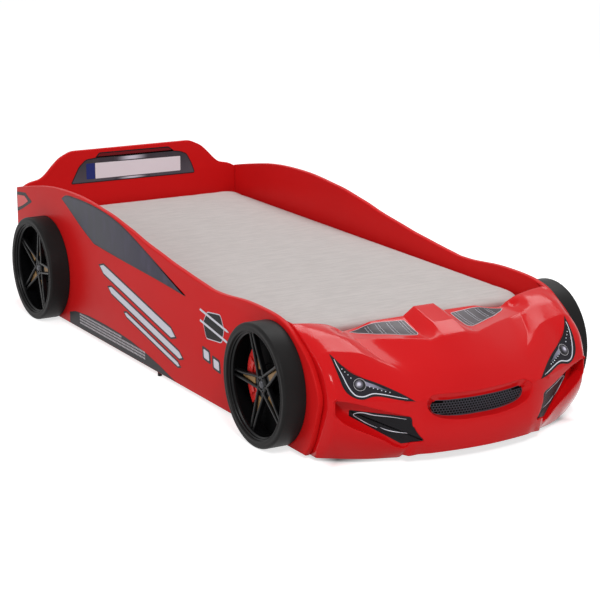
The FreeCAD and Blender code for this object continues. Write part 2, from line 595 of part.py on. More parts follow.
def board_screw_places():
    """(x, z) of the corner-bracket screws in the headboard and the cross panel."""
    x = INNER_HALF - BRACKET_REACH
    return [(x, BRACKET_LEVEL), (-x, BRACKET_LEVEL)]


def nose_screw_places():
    """(y, z) of the screws that hold the nose to a side panel."""
    return [(nose_y(ahead), z) for ahead, z in NOSE_SCREWS]


def screw(head, tip):
    """Faceted-head screw: the head's seat and the tip of its shank."""
    back = (head - tip).normalize()
    cap = stud(SCREW_HEAD_RADIUS, head, head + back * SCREW_HEAD_HEIGHT)
    return fuse([stud(SCREW_RADIUS, head, tip), cap])


def both_sides(pieces):
    """Pieces of the left side with their mirror images."""
    return pieces + [flip(piece) for piece in pieces]


def wheel_screws():
    """Screws from inside each side panel into the wheel bosses."""
    return both_sides([screw(V(INNER_HALF, y, z), V(OUTER_HALF + BOSS_DEPTH - 4, y, z))
                       for y, z in wheel_screw_places()])


def rail_screws():
    """Screws through the slat rails into the side panels."""
    return both_sides([screw(V(INNER_HALF - RAIL_WIDTH, y, z), V(INNER_HALF + SCREW_BITE, y, z))
                       for y, z in rail_screw_places()])


def nose_screws():
    """Screws from inside the nose into the side panels."""
    seat = NOSE_HALF - NOSE_WALL
    return both_sides([screw(V(seat, y, z), V(INNER_HALF + SCREW_BITE, y, z)) for y, z in nose_screw_places()])


def corner_brackets():
    """Steel angles that tie the headboard and the cross panel to the side panels."""
    brackets = []
    t, leg = BRACKET_THICKNESS, BRACKET_LEG
    z0, z1 = BRACKET_TOP - BRACKET_WIDTH, BRACKET_TOP
    for face, way in ((CROSS_PANEL_Y + BOARD, 1), (HEADBOARD_Y, -1)):
        on_panel = box(INNER_HALF - t, INNER_HALF, *sorted((face, face + way * leg)), z0, z1)
        on_board = box(INNER_HALF - leg, INNER_HALF, *sorted((face, face + way * t)), z0, z1)
        angle = fuse([on_panel, on_board])
        level = BRACKET_LEVEL
        y, x = face + way * BRACKET_REACH, INNER_HALF - BRACKET_REACH
        holes = [stud(SCREW_RADIUS, V(INNER_HALF - t, y, level), V(INNER_HALF, y, level)),
                 stud(SCREW_RADIUS, V(x, face, level), V(x, face + way * t, level))]
        brackets.append(angle.cut(Part.Compound(holes)))
    return both_sides(brackets)


def bracket_screws():
    """Screws of the corner brackets."""
    screws = []
    t = BRACKET_THICKNESS
    level = BRACKET_LEVEL
    x = INNER_HALF - BRACKET_REACH
    for y, z in bracket_screw_places():
        screws.append(screw(V(INNER_HALF - t, y, z), V(INNER_HALF + SCREW_BITE, y, z)))
    for face, way in ((CROSS_PANEL_Y + BOARD, 1), (HEADBOARD_Y, -1)):
        screws.append(screw(V(x, face + way * t, level), V(x, face - way * SCREW_BITE, level)))
    return both_sides(screws)


def glides():
    """Plastic glides under the side panels."""
    places = [NOSE_Y + GLIDE_FROM_END, CROSS_PANEL_Y + 2 * GLIDE_FROM_END, 0.0, REAR_Y - GLIDE_FROM_END]
    x = (INNER_HALF + OUTER_HALF) / 2
    return both_sides([stud(GLIDE_RADIUS, V(x, y, 0), V(x, y, PANEL_LIFT)) for y in places])


# ---- slatted base -------------------------------------------------------------------------------
def slat_rail():
    """Rail along the left panel, drilled for its screws."""
    rail = box(INNER_HALF - RAIL_WIDTH, INNER_HALF, CROSS_PANEL_Y + BOARD, HEADBOARD_Y,
               RAIL_FOOT, RAIL_TOP)
    return rail.cut(Part.Compound([stud(SCREW_RADIUS, V(INNER_HALF - RAIL_WIDTH, y, z), V(INNER_HALF, y, z))
                                   for y, z in rail_screw_places()]))


def slat(number):
    """One slat with rounded long edges, laid across the rails and the centre beam."""
    first = CROSS_PANEL_Y + BOARD + SLAT_FROM_END + SLAT_WIDTH / 2
    last = HEADBOARD_Y - SLAT_FROM_END - SLAT_WIDTH / 2
    y = first + (last - first) * number / (SLAT_COUNT - 1)
    half = INNER_HALF - SLAT_END_GAP
    plank = box(-half, half, y - SLAT_WIDTH / 2, y + SLAT_WIDTH / 2, RAIL_TOP, SLEEP_HEIGHT)
    long_edges = [e for e in plank.Edges if abs(e.Length - 2 * half) < 0.1]
    return plank.makeChamfer(SLAT_CHAMFER, long_edges)


def centre_beam():
    """Beam under the middle of the slats."""
    return box(-BEAM_WIDTH / 2, BEAM_WIDTH / 2, CROSS_PANEL_Y + BOARD, HEADBOARD_Y,
               RAIL_TOP - BEAM_HEIGHT, RAIL_TOP)


def beam_legs():
    """Two square legs from the beam to the floor."""
    half = LEG_SIDE / 2
    span = HEADBOARD_Y - CROSS_PANEL_Y - BOARD
    middle = (HEADBOARD_Y + CROSS_PANEL_Y + BOARD) / 2
    return [box(-half, half, middle + way * span / 5 - half, middle + way * span / 5 + half, 0,
                RAIL_TOP - BEAM_HEIGHT) for way in (-1, 1)]


def beam_shoes():
    """Steel shoes on the headboard and the cross panel that carry the ends of the beam."""
    shoes = []
    t, half = BRACKET_THICKNESS, BEAM_WIDTH / 2
    foot = RAIL_TOP - BEAM_HEIGHT
    for face, way in ((CROSS_PANEL_Y + BOARD, 1), (HEADBOARD_Y, -1)):
        y0, y1 = sorted((face, face + way * SHOE_DEPTH))
        sides = [box(-half - t, -half, y0, y1, foot - t, foot + SHOE_HEIGHT),
                 box(half, half + t, y0, y1, foot - t, foot + SHOE_HEIGHT)]
        floor = box(-half - t, half + t, y0, y1, foot - t, foot)
        shoes.append(fuse(sides + [floor]))
    return shoes


# ---- mattress -----------------------------------------------------------------------------------
def mattress_wire(z, inset):
    """Rounded outline of the mattress at a height, drawn in by an inset."""
    half = MATTRESS_WIDTH / 2 - inset
    y0, y1 = MATTRESS_FRONT_Y + inset, MATTRESS_REAR_Y - inset
    r = MATTRESS_CORNER
    c = r * (1 - math.sqrt(0.5))
    edges = []
    corners = [(half, y1, -1, -1), (-half, y1, 1, -1), (-half, y0, 1, 1), (half, y0, -1, 1)]
    arcs = []
    for x, y, sx, sy in corners:
        along_y = V(x, y + sy * r, z)
        along_x = V(x + sx * r, y, z)
        middle = V(x + sx * c, y + sy * c, z)
        arcs.append((along_y, middle, along_x) if sx * sy > 0 else (along_x, middle, along_y))
    for i, arc in enumerate(arcs):
        edges.append(Part.Arc(*arc).toShape())
        edges.append(Part.makeLine(arc[2], arcs[(i + 1) % 4][0]))
    return Part.Wire(edges)


def mattress():
    """Crowned mattress with drawn-in sides and bevelled edges, flat underneath."""
    foot, top = SLEEP_HEIGHT, SLEEP_HEIGHT + MATTRESS_HEIGHT
    rings = [(foot, MATTRESS_EDGE), (foot + 12, 0.5), (foot + MATTRESS_HEIGHT / 2, MATTRESS_WAIST),
             (top - 12, 0.5), (top - 2, MATTRESS_EDGE)]
    rings += [(top + share * MATTRESS_CROWN, inset) for share, inset in ((0.45, 70), (0.85, 190), (1.0, 330))]
    return Part.makeLoft([mattress_wire(z, inset) for z, inset in rings], True, True)


# ---- the whole bed ------------------------------------------------------------------------------
def bed():
    """Every node of the bed with its solids."""
    outer = nose_block(0.0)
    skin = nose_block(INLAY_LIFT + INLAY).cut(nose_block(INLAY_LIFT))
    panel, rail, lamp, vent, fog = side_panel(), slat_rail(), headlamp(skin), bonnet_vent(skin), fog_panel()
    nodes = {"side_panel_left": [panel], "side_panel_right": [flip(panel)], "headboard": [headboard()],
             "front_cross_panel": [front_cross_panel()], "nose_shell": [nose_shell(outer)],
             "grille_panel": [grille_panel()], "headlamp_left": [lamp], "headlamp_right": [flip(lamp)],
             "bonnet_vent_left": [vent], "bonnet_vent_right": [flip(vent)],
             "fog_panel_left": [fog], "fog_panel_right": [flip(fog)],
             "slat_rail_left": [rail], "slat_rail_right": [flip(rail)],
             "centre_beam": [centre_beam()], "beam_legs": beam_legs(), "beam_shoes": beam_shoes(),
             "corner_brackets": corner_brackets(), "bracket_screws": bracket_screws(),
             "rail_screws": rail_screws(), "wheel_screws": wheel_screws(), "nose_screws": nose_screws(),
             "glides": glides(), "mattress": [mattress()]}
    for number in range(SLAT_COUNT):
        nodes["slat_%02d" % (number + 1)] = [slat(number)]
    nodes.update(wheels())
    return nodes


def main():
    """Write one STEP file per node."""
    os.makedirs("parts", exist_ok=True)
    for name, solids in bed().items():
        shape = solids[0] if len(solids) == 1 else Part.Compound(solids)
        shape.exportStep("parts/" + name + ".step")
        print(name, len(shape.Solids), round(shape.Volume / 1000.0, 1), "cm3", shape.isValid())


if __name__ == "__main__":
    main()
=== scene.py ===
"""Children's car bed: the fine shapes and finishes laid over its construction.

Sizes are in millimetres in the bed's own frame and the pieces are built in metres. X runs across the bed, Y
from the nose (-Y) to the headboard (+Y) and Z up from the floor. An angle on a wheel is counted from the
front upwards.
"""
import logging
import math
from dataclasses import dataclass
from enum import Enum
from typing import Callable, Iterable, Sequence

import bmesh
import bpy
import numpy as np
from mathutils import Matrix, Vector


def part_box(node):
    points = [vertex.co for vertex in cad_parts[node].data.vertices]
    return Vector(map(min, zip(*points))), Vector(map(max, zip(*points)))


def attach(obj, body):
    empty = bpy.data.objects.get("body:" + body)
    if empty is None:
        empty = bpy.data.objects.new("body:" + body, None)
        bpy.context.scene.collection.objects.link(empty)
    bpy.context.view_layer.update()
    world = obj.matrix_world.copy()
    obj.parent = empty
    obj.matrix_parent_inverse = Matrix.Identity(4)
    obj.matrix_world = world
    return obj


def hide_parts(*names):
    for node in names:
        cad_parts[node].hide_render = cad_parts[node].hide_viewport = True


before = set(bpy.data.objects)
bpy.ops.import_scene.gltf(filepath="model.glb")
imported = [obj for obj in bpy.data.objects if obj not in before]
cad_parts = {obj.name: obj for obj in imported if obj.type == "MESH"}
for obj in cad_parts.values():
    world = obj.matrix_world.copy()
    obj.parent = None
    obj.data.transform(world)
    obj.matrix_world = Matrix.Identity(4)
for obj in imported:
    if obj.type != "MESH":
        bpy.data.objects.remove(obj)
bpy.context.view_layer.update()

LOG = logging.getLogger("car_bed")
MM = 0.001
BED, MATTRESS = "bed", "mattress"
FILM = 0.5                      # thickness of a printed film

Point = tuple[float, float]
Triple = tuple[float, float, float]
Colour = Triple


def rgb(red: float, green: float, blue: float) -> Colour:
    """Linear colour of an 8-bit screen colour."""
    return tuple(v / 12.92 if v <= 0.04045 else ((v + 0.055) / 1.055) ** 2.4
                 for v in (red / 255, green / 255, blue / 255))


def box_of(node: str) -> tuple[Vector, Vector]:
    """Lowest and highest corner of a node of the frame, in millimetres."""
    low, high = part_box(node)
    return low / MM, high / MM


# ---- shader maths -------------------------------------------------------------------------------
class Socket:
    """A shader value that takes part in Python arithmetic; each operation adds its Math node."""

    def __init__(self, wiring: "Wiring", link: bpy.types.NodeSocket) -> None:
        """Keep the node tree that the value belongs to and its output socket."""
        self.wiring = wiring
        self.link = link

    def _math(self, operation: str, *others: "Socket | float") -> "Socket":
        """This value and others through one Math node."""
        return self.wiring.math(operation, self, *others)

    def __add__(self, other: "Socket | float") -> "Socket":
        """Sum."""
        return self._math("ADD", other)

    __radd__ = __add__

    def __sub__(self, other: "Socket | float") -> "Socket":
        """Difference."""
        return self._math("SUBTRACT", other)

    def __rsub__(self, other: "Socket | float") -> "Socket":
        """Difference from a number."""
        return self.wiring.math("SUBTRACT", other, self)

    def __mul__(self, other: "Socket | float") -> "Socket":
        """Product."""
        return self._math("MULTIPLY", other)

    __rmul__ = __mul__

    def __abs__(self) -> "Socket":
        """Size without sign."""
        return self._math("ABSOLUTE")

    def sine(self) -> "Socket":
        """Sine of the value in radians."""
        return self._math("SINE")

    def ramp(self, low: float, high: float) -> "Socket":
        """Smooth rise from 0 at low to 1 at high."""
        settings = {"interpolation_type": "SMOOTHSTEP"}
        return self.wiring.node("ShaderNodeMapRange", settings, {0: self, 1: low, 2: high})


class Wiring:
    """A node tree under construction."""

    def __init__(self, tree: bpy.types.NodeTree, output: str) -> None:
        """Empty a tree and give it an output node of a type."""
        self.tree = tree
        self.tree.nodes.clear()
        self.output = self.tree.nodes.new(output)

    def node(self, kind: str, settings: dict | None = None, inputs: dict | None = None,
             output: int | str = 0) -> Socket:
        """Add a node.

        Args:
            kind: The node's type.
            settings: Its properties, set before its inputs.
            inputs: Values or sockets by input name or number.
            output: Which output to hand back.

        Returns:
            The chosen output.
        """
        made = self.tree.nodes.new(kind)
        for key, value in (settings or {}).items():
            setattr(made, key, value)
        for key, value in (inputs or {}).items():
            if isinstance(value, Socket):
                self.tree.links.new(value.link, made.inputs[key])
            else:
                made.inputs[key].default_value = value
        return Socket(self, made.outputs[output])

    def math(self, operation: str, *values: "Socket | float") -> Socket:
        """One Math node over the values."""
        return self.node("ShaderNodeMath", {"operation": operation}, dict(enumerate(values)))

    def looked_at(self) -> Socket:
        """1 on a camera, glossy or transmission ray, and 0 on any other."""
        camera, glossy, through = [self.node("ShaderNodeLightPath", output=name) for name in
                                   ("Is Camera Ray", "Is Glossy Ray", "Is Transmission Ray")]
        return self.math("MAXIMUM", self.math("MAXIMUM", camera, glossy), through)

    def close(self, made: Socket) -> None:
        """Wire a shader to the tree's output."""
        self.tree.links.new(made.link, self.output.inputs["Surface"])


class Shader(Wiring):
    """One node material under construction."""

    def __init__(self, name: str) -> None:
        """Start an empty material."""
        self.material = bpy.data.materials.new(name)
        self.material.use_nodes = True
        super().__init__(self.material.node_tree, "ShaderNodeOutputMaterial")
        self._place: Socket | None = None

    def place(self) -> Socket:
        """Object coordinates, as a vector in metres."""
        if self._place is None:
            self._place = self.node("ShaderNodeTexCoord", output="Object")
        return self._place

    def axis(self, letter: str) -> Socket:
        """One object coordinate in millimetres."""
        return self.node("ShaderNodeSeparateXYZ", None, {0: self.place()}, letter) * (1 / MM)

    def noise(self, size: float, detail: float = 2.0, stretch: Triple = (1.0, 1.0, 1.0)) -> Socket:
        """Soft random value around one half.

        Args:
            size: Size of its patches in millimetres.
            detail: How many finer layers it has.
            stretch: How much longer a patch is along each axis.

        Returns:
            The noise value.
        """
        scale = tuple(1 / s for s in stretch)
        turned = self.node("ShaderNodeMapping", {"vector_type": "POINT"},
                           {"Vector": self.place(), "Scale": scale})
        inputs = {"Vector": turned, "Scale": 1 / (size * MM), "Detail": detail}
        return self.node("ShaderNodeTexNoise", None, inputs, "Fac")

    def mix(self, factor: "Socket | float", first: "Socket | Colour", second: "Socket | Colour") -> Socket:
        """Colour between two colours."""
        ends = [value if isinstance(value, Socket) else (*value, 1.0) for value in (first, second)]
        return self.node("ShaderNodeMix", {"data_type": "RGBA"}, {0: factor, 6: ends[0], 7: ends[1]}, 2)

    def shade(self, colour: Colour, factor: Socket, dark: float, light: float) -> Socket:
        """A colour that wanders between a darker and a lighter share of itself."""
        return self.mix(factor, tuple(c * dark for c in colour), tuple(c * light for c in colour))

    def bump(self, height: Socket, depth: float, strength: float = 1.0,
             under: Socket | None = None) -> Socket:
        """Normal of a surface raised by a height.

        Args:
            height: The height, 0 to 1.
            depth: What a height of 1 stands for, in millimetres.
            strength: Share of the bump that shows.
            under: A coarser normal that it lies on.

        Returns:
            The normal.
        """
        inputs = {"Height": height, "Distance": depth * MM, "Strength": strength}
        if under is not None:
            inputs["Normal"] = under
        return self.node("ShaderNodeBump", None, inputs)

    def surface(self, **inputs: "Socket | float | Colour") -> None:
        """Finish the material with a Principled shader; an underscore in a name stands for a space."""
        values = {}
        for key, value in inputs.items():
            name = key.replace("_", " ")
            values[name] = (*value, 1.0) if isinstance(value, tuple) and len(value) == 3 else value
        self.close(self.node("ShaderNodeBsdfPrincipled", None, values))


# ---- finishes -----------------------------------------------------------------------------------
@dataclass(frozen=True)
class Finish:
    """A surface finish that becomes a node material once."""
    name: str
    colour: Colour

    def dress(self, shader: Shader) -> None:
        """Wire the finish's nodes."""
        raise NotImplementedError

    def material(self) -> bpy.types.Material:
        """The finish's material, made on first use."""
        found = bpy.data.materials.get(self.name)
        if found is None:
            shader = Shader(self.name)
            self.dress(shader)
            found = shader.material
        return found


@dataclass(frozen=True)
class Lacquer(Finish):
    """Sprayed lacquer or moulded gloss: a clear skin over a colour, with a faint ripple."""
    roughness: float = 0.32
    coat: float = 0.6
    shine: float = 0.3              # level of the reflection under the clear skin
    ripple: float = 0.02            # height of the ripple in mm
    ripple_size: float = 7.0

    def dress(self, shader: Shader) -> None:
        """Wire the finish's nodes."""
        cloud = shader.noise(260, 2)
        fine = shader.noise(self.ripple_size, 1)
        haze = shader.noise(45, 3)
        shader.surface(Base_Color=shader.shade(self.colour, cloud, 0.94, 1.05),
                       Roughness=self.roughness + (haze - 0.5) * 0.08,
                       Normal=shader.bump(fine, self.ripple),
                       Coat_Weight=self.coat, Coat_Roughness=0.08, Specular_IOR_Level=self.shine)


@dataclass(frozen=True)
class Grained(Finish):
    """Moulded plastic with a fine even grain."""
    roughness: float = 0.5
    shine: float = 0.2              # level of its reflection
    grain: float = 0.05
    grain_size: float = 0.9

    def dress(self, shader: Shader) -> None:
        """Wire the finish's nodes."""
        dust = shader.noise(70, 4)
        grain = shader.noise(self.grain_size, 2)
        shader.surface(Base_Color=shader.shade(self.colour, dust, 0.82, 1.2), Specular_IOR_Level=self.shine,
                       Roughness=self.roughness + (dust - 0.5) * 0.14, Normal=shader.bump(grain, self.grain))


@dataclass(frozen=True)
class MetalPaint(Finish):
    """Metallic paint or bare metal, with a sparkle."""
    roughness: float = 0.35
    metallic: float = 0.9

    def dress(self, shader: Shader) -> None:
        """Wire the finish's nodes."""
        flake = shader.noise(1.6, 3)
        cloud = shader.noise(30, 2)
        shader.surface(Base_Color=shader.shade(self.colour, flake, 0.7, 1.3), Metallic=self.metallic,
                       Roughness=self.roughness + (cloud - 0.5) * 0.12, Normal=shader.bump(flake, 0.02))


class Grain(Enum):
    """Which way the grain of a piece of timber runs."""
    ACROSS = (14.0, 1.0, 1.0)
    ALONG = (1.0, 14.0, 1.0)
    UPRIGHT = (1.0, 1.0, 14.0)


@dataclass(frozen=True)
class Timber(Finish):
    """Sanded softwood with growth rings and pores."""
    grain: Grain = Grain.ACROSS

    def dress(self, shader: Shader) -> None:
        """Wire the finish's nodes."""
        warp = shader.noise(26, 3, self.grain.value)
        rings = ((warp * 34.0).sine() + 1.0) * 0.5
        pores = shader.noise(2.2, 3, self.grain.value)
        dark = tuple(c * k for c, k in zip(self.colour, (0.62, 0.5, 0.4)))
        base = shader.mix(rings * 0.55 + pores * 0.25, self.colour, dark)
        shader.surface(Base_Color=base, Roughness=0.62 + pores * 0.12,
                       Normal=shader.bump(rings * 0.4 + pores * 0.6, 0.12))


@dataclass(frozen=True)
class Cover(Finish):
    """Woven mattress cover: warp and weft threads, slubs that run across it, and a soft mottle."""
    pitch: float = 1.9              # from thread to thread, in mm

    def dress(self, shader: Shader) -> None:
        """Wire the finish's nodes."""
        turn = 2 * math.pi / self.pitch
        slub = shader.noise(9, 3, (1.0, 5.0, 1.0))
        slub_across = shader.noise(9, 3, (5.0, 1.0, 1.0))
        warp = (shader.axis("X") * turn + slub * 3.0).sine()
        weft = (shader.axis("Y") * turn + slub_across * 3.0).sine()
        side = (shader.axis("Z") * turn).sine()
        weave = (warp * weft + side * 0.3) * 0.5 + 0.5
        melange = slub * 0.5 + slub_across * 0.5
        cloud = shader.noise(160, 3)
        streak = (shader.noise(9, 3, (7.0, 1.0, 1.0)) - 0.34).ramp(0.0, 0.32)
        tone = melange * 0.4 + streak * 0.35 + weave * 0.15 + cloud * 0.1
        puff = shader.bump(shader.noise(75, 3) * 0.8 + streak * 0.2, 2.2, 0.6)
        shader.surface(Base_Color=shader.shade(self.colour, tone, 0.86, 1.12),
                       Roughness=0.86 + (weave - 0.5) * 0.1,
                       Normal=shader.bump(weave * 0.6 + melange * 0.4, 0.35, 0.8, puff),
                       Sheen_Weight=0.08, Sheen_Roughness=0.5, Specular_IOR_Level=0.1)


@dataclass(frozen=True)
class Film(Finish):
    """Printed film whose tone runs from one colour to another across the print."""
    second: Colour = (0.1, 0.1, 0.1)
    along: str = "Y"                # axis of the run, which starts from the middle on X
    start: float = 0.0
    end: float = 100.0
    streak: float = 0.25            # how much its pale clouds show
    roughness: float = 0.25

    def dress(self, shader: Shader) -> None:
        """Wire the finish's nodes."""
        place = shader.axis(self.along)
        sweep = (abs(place) if self.along == "X" else place).ramp(self.start, self.end)
        cloud = shader.noise(60, 3, (1.0, 1.0, 2.5))
        pale = tuple(min(1.0, c * 2.2 + 0.02) for c in self.second)
        tone = shader.mix((cloud - 0.42).ramp(0.0, 0.3) * self.streak,
                          shader.mix(sweep, self.colour, self.second), pale)
        shader.surface(Base_Color=tone, Roughness=self.roughness + (cloud - 0.5) * 0.1,
                       Normal=shader.bump(shader.noise(3, 1), 0.01), Specular_IOR_Level=0.07)


@dataclass(frozen=True)
class MeshPrint(Finish):
    """Black film printed with a fine honeycomb."""
    pitch: float = 7.0              # from cell to cell, in mm
    line: Colour = (0.018, 0.017, 0.02)

    def dress(self, shader: Shader) -> None:
        """Wire the finish's nodes."""
        across = shader.axis("X") * (2 * math.pi / self.pitch)
        rise = shader.axis("Z") * (2 * math.pi / (self.pitch * 0.8))
        cell = across.sine() * rise.sine()
        lit = abs(cell).ramp(0.25, 0.6)
        shader.surface(Base_Color=shader.mix(lit, self.line, self.colour),
                       Roughness=0.35 + lit * 0.15, Normal=shader.bump(1.0 - lit, 0.2),
                       Specular_IOR_Level=0.1)


@dataclass(frozen=True)
class Lens(Finish):
    """Print of a round lens: bright in the middle, grey and then dark towards its rim."""
    centre: Triple = (0.0, 0.0, 0.0)        # in mm, on the left side
    middle: Colour = rgb(104, 100, 112)
    rim: Colour = rgb(26, 24, 30)
    core: float = 2.0                       # radius in mm of its bright middle
    half: float = 8.0                       # radius where it is grey
    radius: float = 14.0                    # radius where it is dark

    def dress(self, shader: Shader) -> None:
        """Wire the finish's nodes."""
        across = abs(shader.axis("X")) - self.centre[0]
        along = shader.axis("Y") - self.centre[1]
        rise = shader.axis("Z") - self.centre[2]
        reach = across * across + along * along + rise * rise
        near = shader.mix(reach.ramp(self.core ** 2, self.half ** 2), self.colour, self.middle)
        tone = shader.mix(reach.ramp(self.half ** 2, self.radius ** 2), near, self.rim)
        shader.surface(Base_Color=tone, Roughness=0.2 + shader.noise(9, 2) * 0.06,
                       Normal=shader.bump(shader.noise(3, 1), 0.01), Specular_IOR_Level=0.3)


def ink(name: str, colour: Colour, shine: float = 0.2) -> Lacquer:
    """A plain printing ink of one colour."""
    return Lacquer(name, colour, 0.4, 0.0, shine, 0.01, 9.0)


RED_BOARD = Lacquer("red_board_lacquer", rgb(210, 27, 28), 0.34, 0.0, 0.05, 0.012, 6.0)
RED_MOULDING = Lacquer("red_moulding_gloss", rgb(214, 20, 24), 0.14, 0.0, 0.11, 0.004, 22.0)
RED_CALIPER = Lacquer("red_caliper_gloss", rgb(220, 44, 40), 0.35, 0.1, 0.3, 0.02, 5.0)
BLACK_RIM = Lacquer("black_rim_gloss", rgb(13, 13, 14), 0.3, 0.06, 0.14, 0.01, 8.0)
GRILLE_GREY = Lacquer("grille_graphite", rgb(62, 62, 70), 0.4, 0.1, 0.3, 0.01, 4.0)
LED_WHITE = Lacquer("lamp_white", rgb(225, 228, 238), 0.2, 0.5, 0.5, 0.01, 3.0)
TYRE_BLACK = Grained("tyre_black", rgb(31, 30, 30), 0.45, 0.08, 0.03, 0.9)
DARK_DISC = Grained("dark_disc", rgb(9, 9, 10), 0.7, 0.05, 0.04, 1.2)
GLIDE_BLACK = Grained("glide_black", rgb(30, 30, 30), 0.55, 0.2, 0.04, 1.0)
BRONZE = MetalPaint("bronze_inlay", rgb(132, 100, 54), 0.5, 0.3)
SILVER = MetalPaint("silver_print", rgb(200, 200, 210), 0.4, 0.2)
CHROME = MetalPaint("dark_cap", rgb(70, 70, 74), 0.25, 0.8)
ZINC = MetalPaint("zinc_plate", rgb(176, 178, 182), 0.38, 1.0)
PLATE = ink("plate_white", rgb(236, 228, 234))
BAND_BLUE = ink("band_blue", rgb(38, 48, 118))
PRINT_BLACK = ink("print_black", rgb(26, 24, 28), 0.15)
PRINT_RED = ink("print_deep_red", rgb(112, 16, 24))
PRINT_PALE = ink("print_pale", rgb(204, 200, 205))
TIMBER_ACROSS = Timber("timber_across", rgb(222, 186, 140), Grain.ACROSS)
TIMBER_ALONG = Timber("timber_along", rgb(218, 182, 136), Grain.ALONG)
TIMBER_UPRIGHT = Timber("timber_upright", rgb(218, 182, 136), Grain.UPRIGHT)
COVER = Cover("woven_cover", rgb(200, 193, 190))
PIPING = Cover("mattress_piping", rgb(190, 184, 181), 1.2)
LAMP_BODY = Film("lamp_graphite", rgb(34, 32, 36), rgb(44, 42, 48), "X", 250.0, 380.0, 0.08)
BEAM_FILM = Film("lamp_beam_grey", rgb(48, 46, 54), rgb(150, 146, 166), "X", 285.0, 350.0, 0.1)
VENT_FILM = Film("vent_grey", rgb(96, 90, 94), rgb(52, 46, 52), "X", 110.0, 250.0, 0.08)
GLEAM_FILM = Film("surround_gleam", rgb(214, 212, 224), rgb(76, 72, 80), "X", 4.0, 72.0, 0.0)
WINDOW_FILM = Film("window_tint", rgb(70, 70, 78), rgb(48, 42, 64), "Y", 560.0, -60.0, 0.3)
SURROUND_FILM = Film("surround_graphite", rgb(86, 82, 90), rgb(68, 64, 70), "Z", 430.0, 530.0, 0.12)
FOG_MESH = MeshPrint("fog_honeycomb", rgb(8, 8, 10), 5.0)


# ---- building blocks ----------------------------------------------------------------------------
def spline_through(points: Sequence[Point], count: int) -> list[Point]:
    """Points evenly along a natural cubic spline.

    Args:
        points: The points that it passes through.
        count: How many points to give back.

    Returns:
        Points along the curve, ends included.
    """
    knots = np.array(points, float)
    way = np.concatenate([[0.0], np.cumsum(np.linalg.norm(np.diff(knots, axis=0), axis=1))])
    at = np.linspace(0, way[-1], count)
    return [tuple(p) for p in spline_at(way, knots, at)]


def spline_at(way: np.ndarray, values: np.ndarray, at: np.ndarray) -> np.ndarray:
    """Natural cubic spline through rows of values.

    Args:
        way: Where each row lies along the curve, rising.
        values: One row for each place.
        at: Where to read the curve.

    Returns:
        One row for each place read.
    """
    span = np.diff(way)
    size = len(way)
    system, right = np.eye(size), np.zeros_like(values)
    for i in range(1, size - 1):
        system[i, i - 1:i + 2] = span[i - 1], 2 * (span[i - 1] + span[i]), span[i]
        right[i] = 6 * ((values[i + 1] - values[i]) / span[i] - (values[i] - values[i - 1]) / span[i - 1])
    bend = np.linalg.solve(system, right)
    i = np.clip(np.searchsorted(way, at, side="right") - 1, 0, size - 2)
    step = span[i][:, None]
    a = ((way[i + 1] - at) / span[i])[:, None]
    b = 1 - a
    return (a * values[i] + b * values[i + 1]
            + ((a ** 3 - a) * bend[i] + (b ** 3 - b) * bend[i + 1]) * step ** 2 / 6)


def gentle(places: np.ndarray, values: np.ndarray, at: np.ndarray, level_start: bool) -> np.ndarray:
    """Smooth curve through values that never swings past them.

    Args:
        places: Where each value lies, rising.
        values: The values.
        at: Where to read the curve.
        level_start: Whether it starts level, as at the middle of a symmetric shape.

    Returns:
        The values read.
    """
    if len(places) < 3:
        return np.interp(at, places, values)
    span = np.diff(places)
    slope = np.diff(values) / span
    tangent = np.zeros(len(places))
    for i in range(1, len(places) - 1):
        if slope[i - 1] * slope[i] > 0:
            before, after = 2 * span[i] + span[i - 1], span[i] + 2 * span[i - 1]
            tangent[i] = (before + after) / (before / slope[i - 1] + after / slope[i])
    tangent[0] = 0.0 if level_start else slope[0]
    tangent[-1] = slope[-1]
    i = np.clip(np.searchsorted(places, at, side="right") - 1, 0, len(places) - 2)
    t = (at - places[i]) / span[i]
    return ((1 + 2 * t) * (1 - t) ** 2 * values[i] + t * (1 - t) ** 2 * span[i] * tangent[i]
            + t * t * (3 - 2 * t) * values[i + 1] + t * t * (t - 1) * span[i] * tangent[i + 1])


def rounded(corners: Sequence[Point], radius: float, steps: int = 4) -> list[Point]:
    """A closed outline with its corners rounded.

    Args:
        corners: The sharp corners in order.
        radius: How far from a corner the rounding starts.
        steps: Points in each rounding.

    Returns:
        The rounded outline.
    """
    made = []
    for i, corner in enumerate(corners):
        here = Vector(corner)
        before, after = Vector(corners[i - 1]), Vector(corners[(i + 1) % len(corners)])
        first = here + (before - here).normalized() * min(radius, (before - here).length * 0.45)
        last = here + (after - here).normalized() * min(radius, (after - here).length * 0.45)
        for step in range(steps + 1):
            share = step / steps
            p = first * (1 - share) ** 2 + here * 2 * share * (1 - share) + last * share ** 2
            made.append((p.x, p.y))
    return made


def shrink(outline: Sequence[Point], by: float) -> list[Point]:
    """The outline moved inward by a distance (outward if negative)."""
    area = sum(a[0] * b[1] - b[0] * a[1] for a, b in zip(outline, [*outline[1:], outline[0]]))
    side = 1 if area > 0 else -1
    made = []
    for i, here in enumerate(outline):
        before, after = outline[i - 1], outline[(i + 1) % len(outline)]
        way = Vector((after[0] - before[0], after[1] - before[1]))
        if way.length > 1e-6:
            way.normalize()
        made.append((here[0] - side * way.y * by, here[1] + side * way.x * by))
    return made


def loop_edges(bm: bmesh.types.BMesh, points: Iterable[Vector], closed: bool = True) -> list:
    """A chain of edges through the points."""
    verts = [bm.verts.new(p) for p in points]
    pairs = zip(verts, verts[1:] + verts[:1] if closed else verts[1:])
    return [bm.edges.new(pair) for pair in pairs]


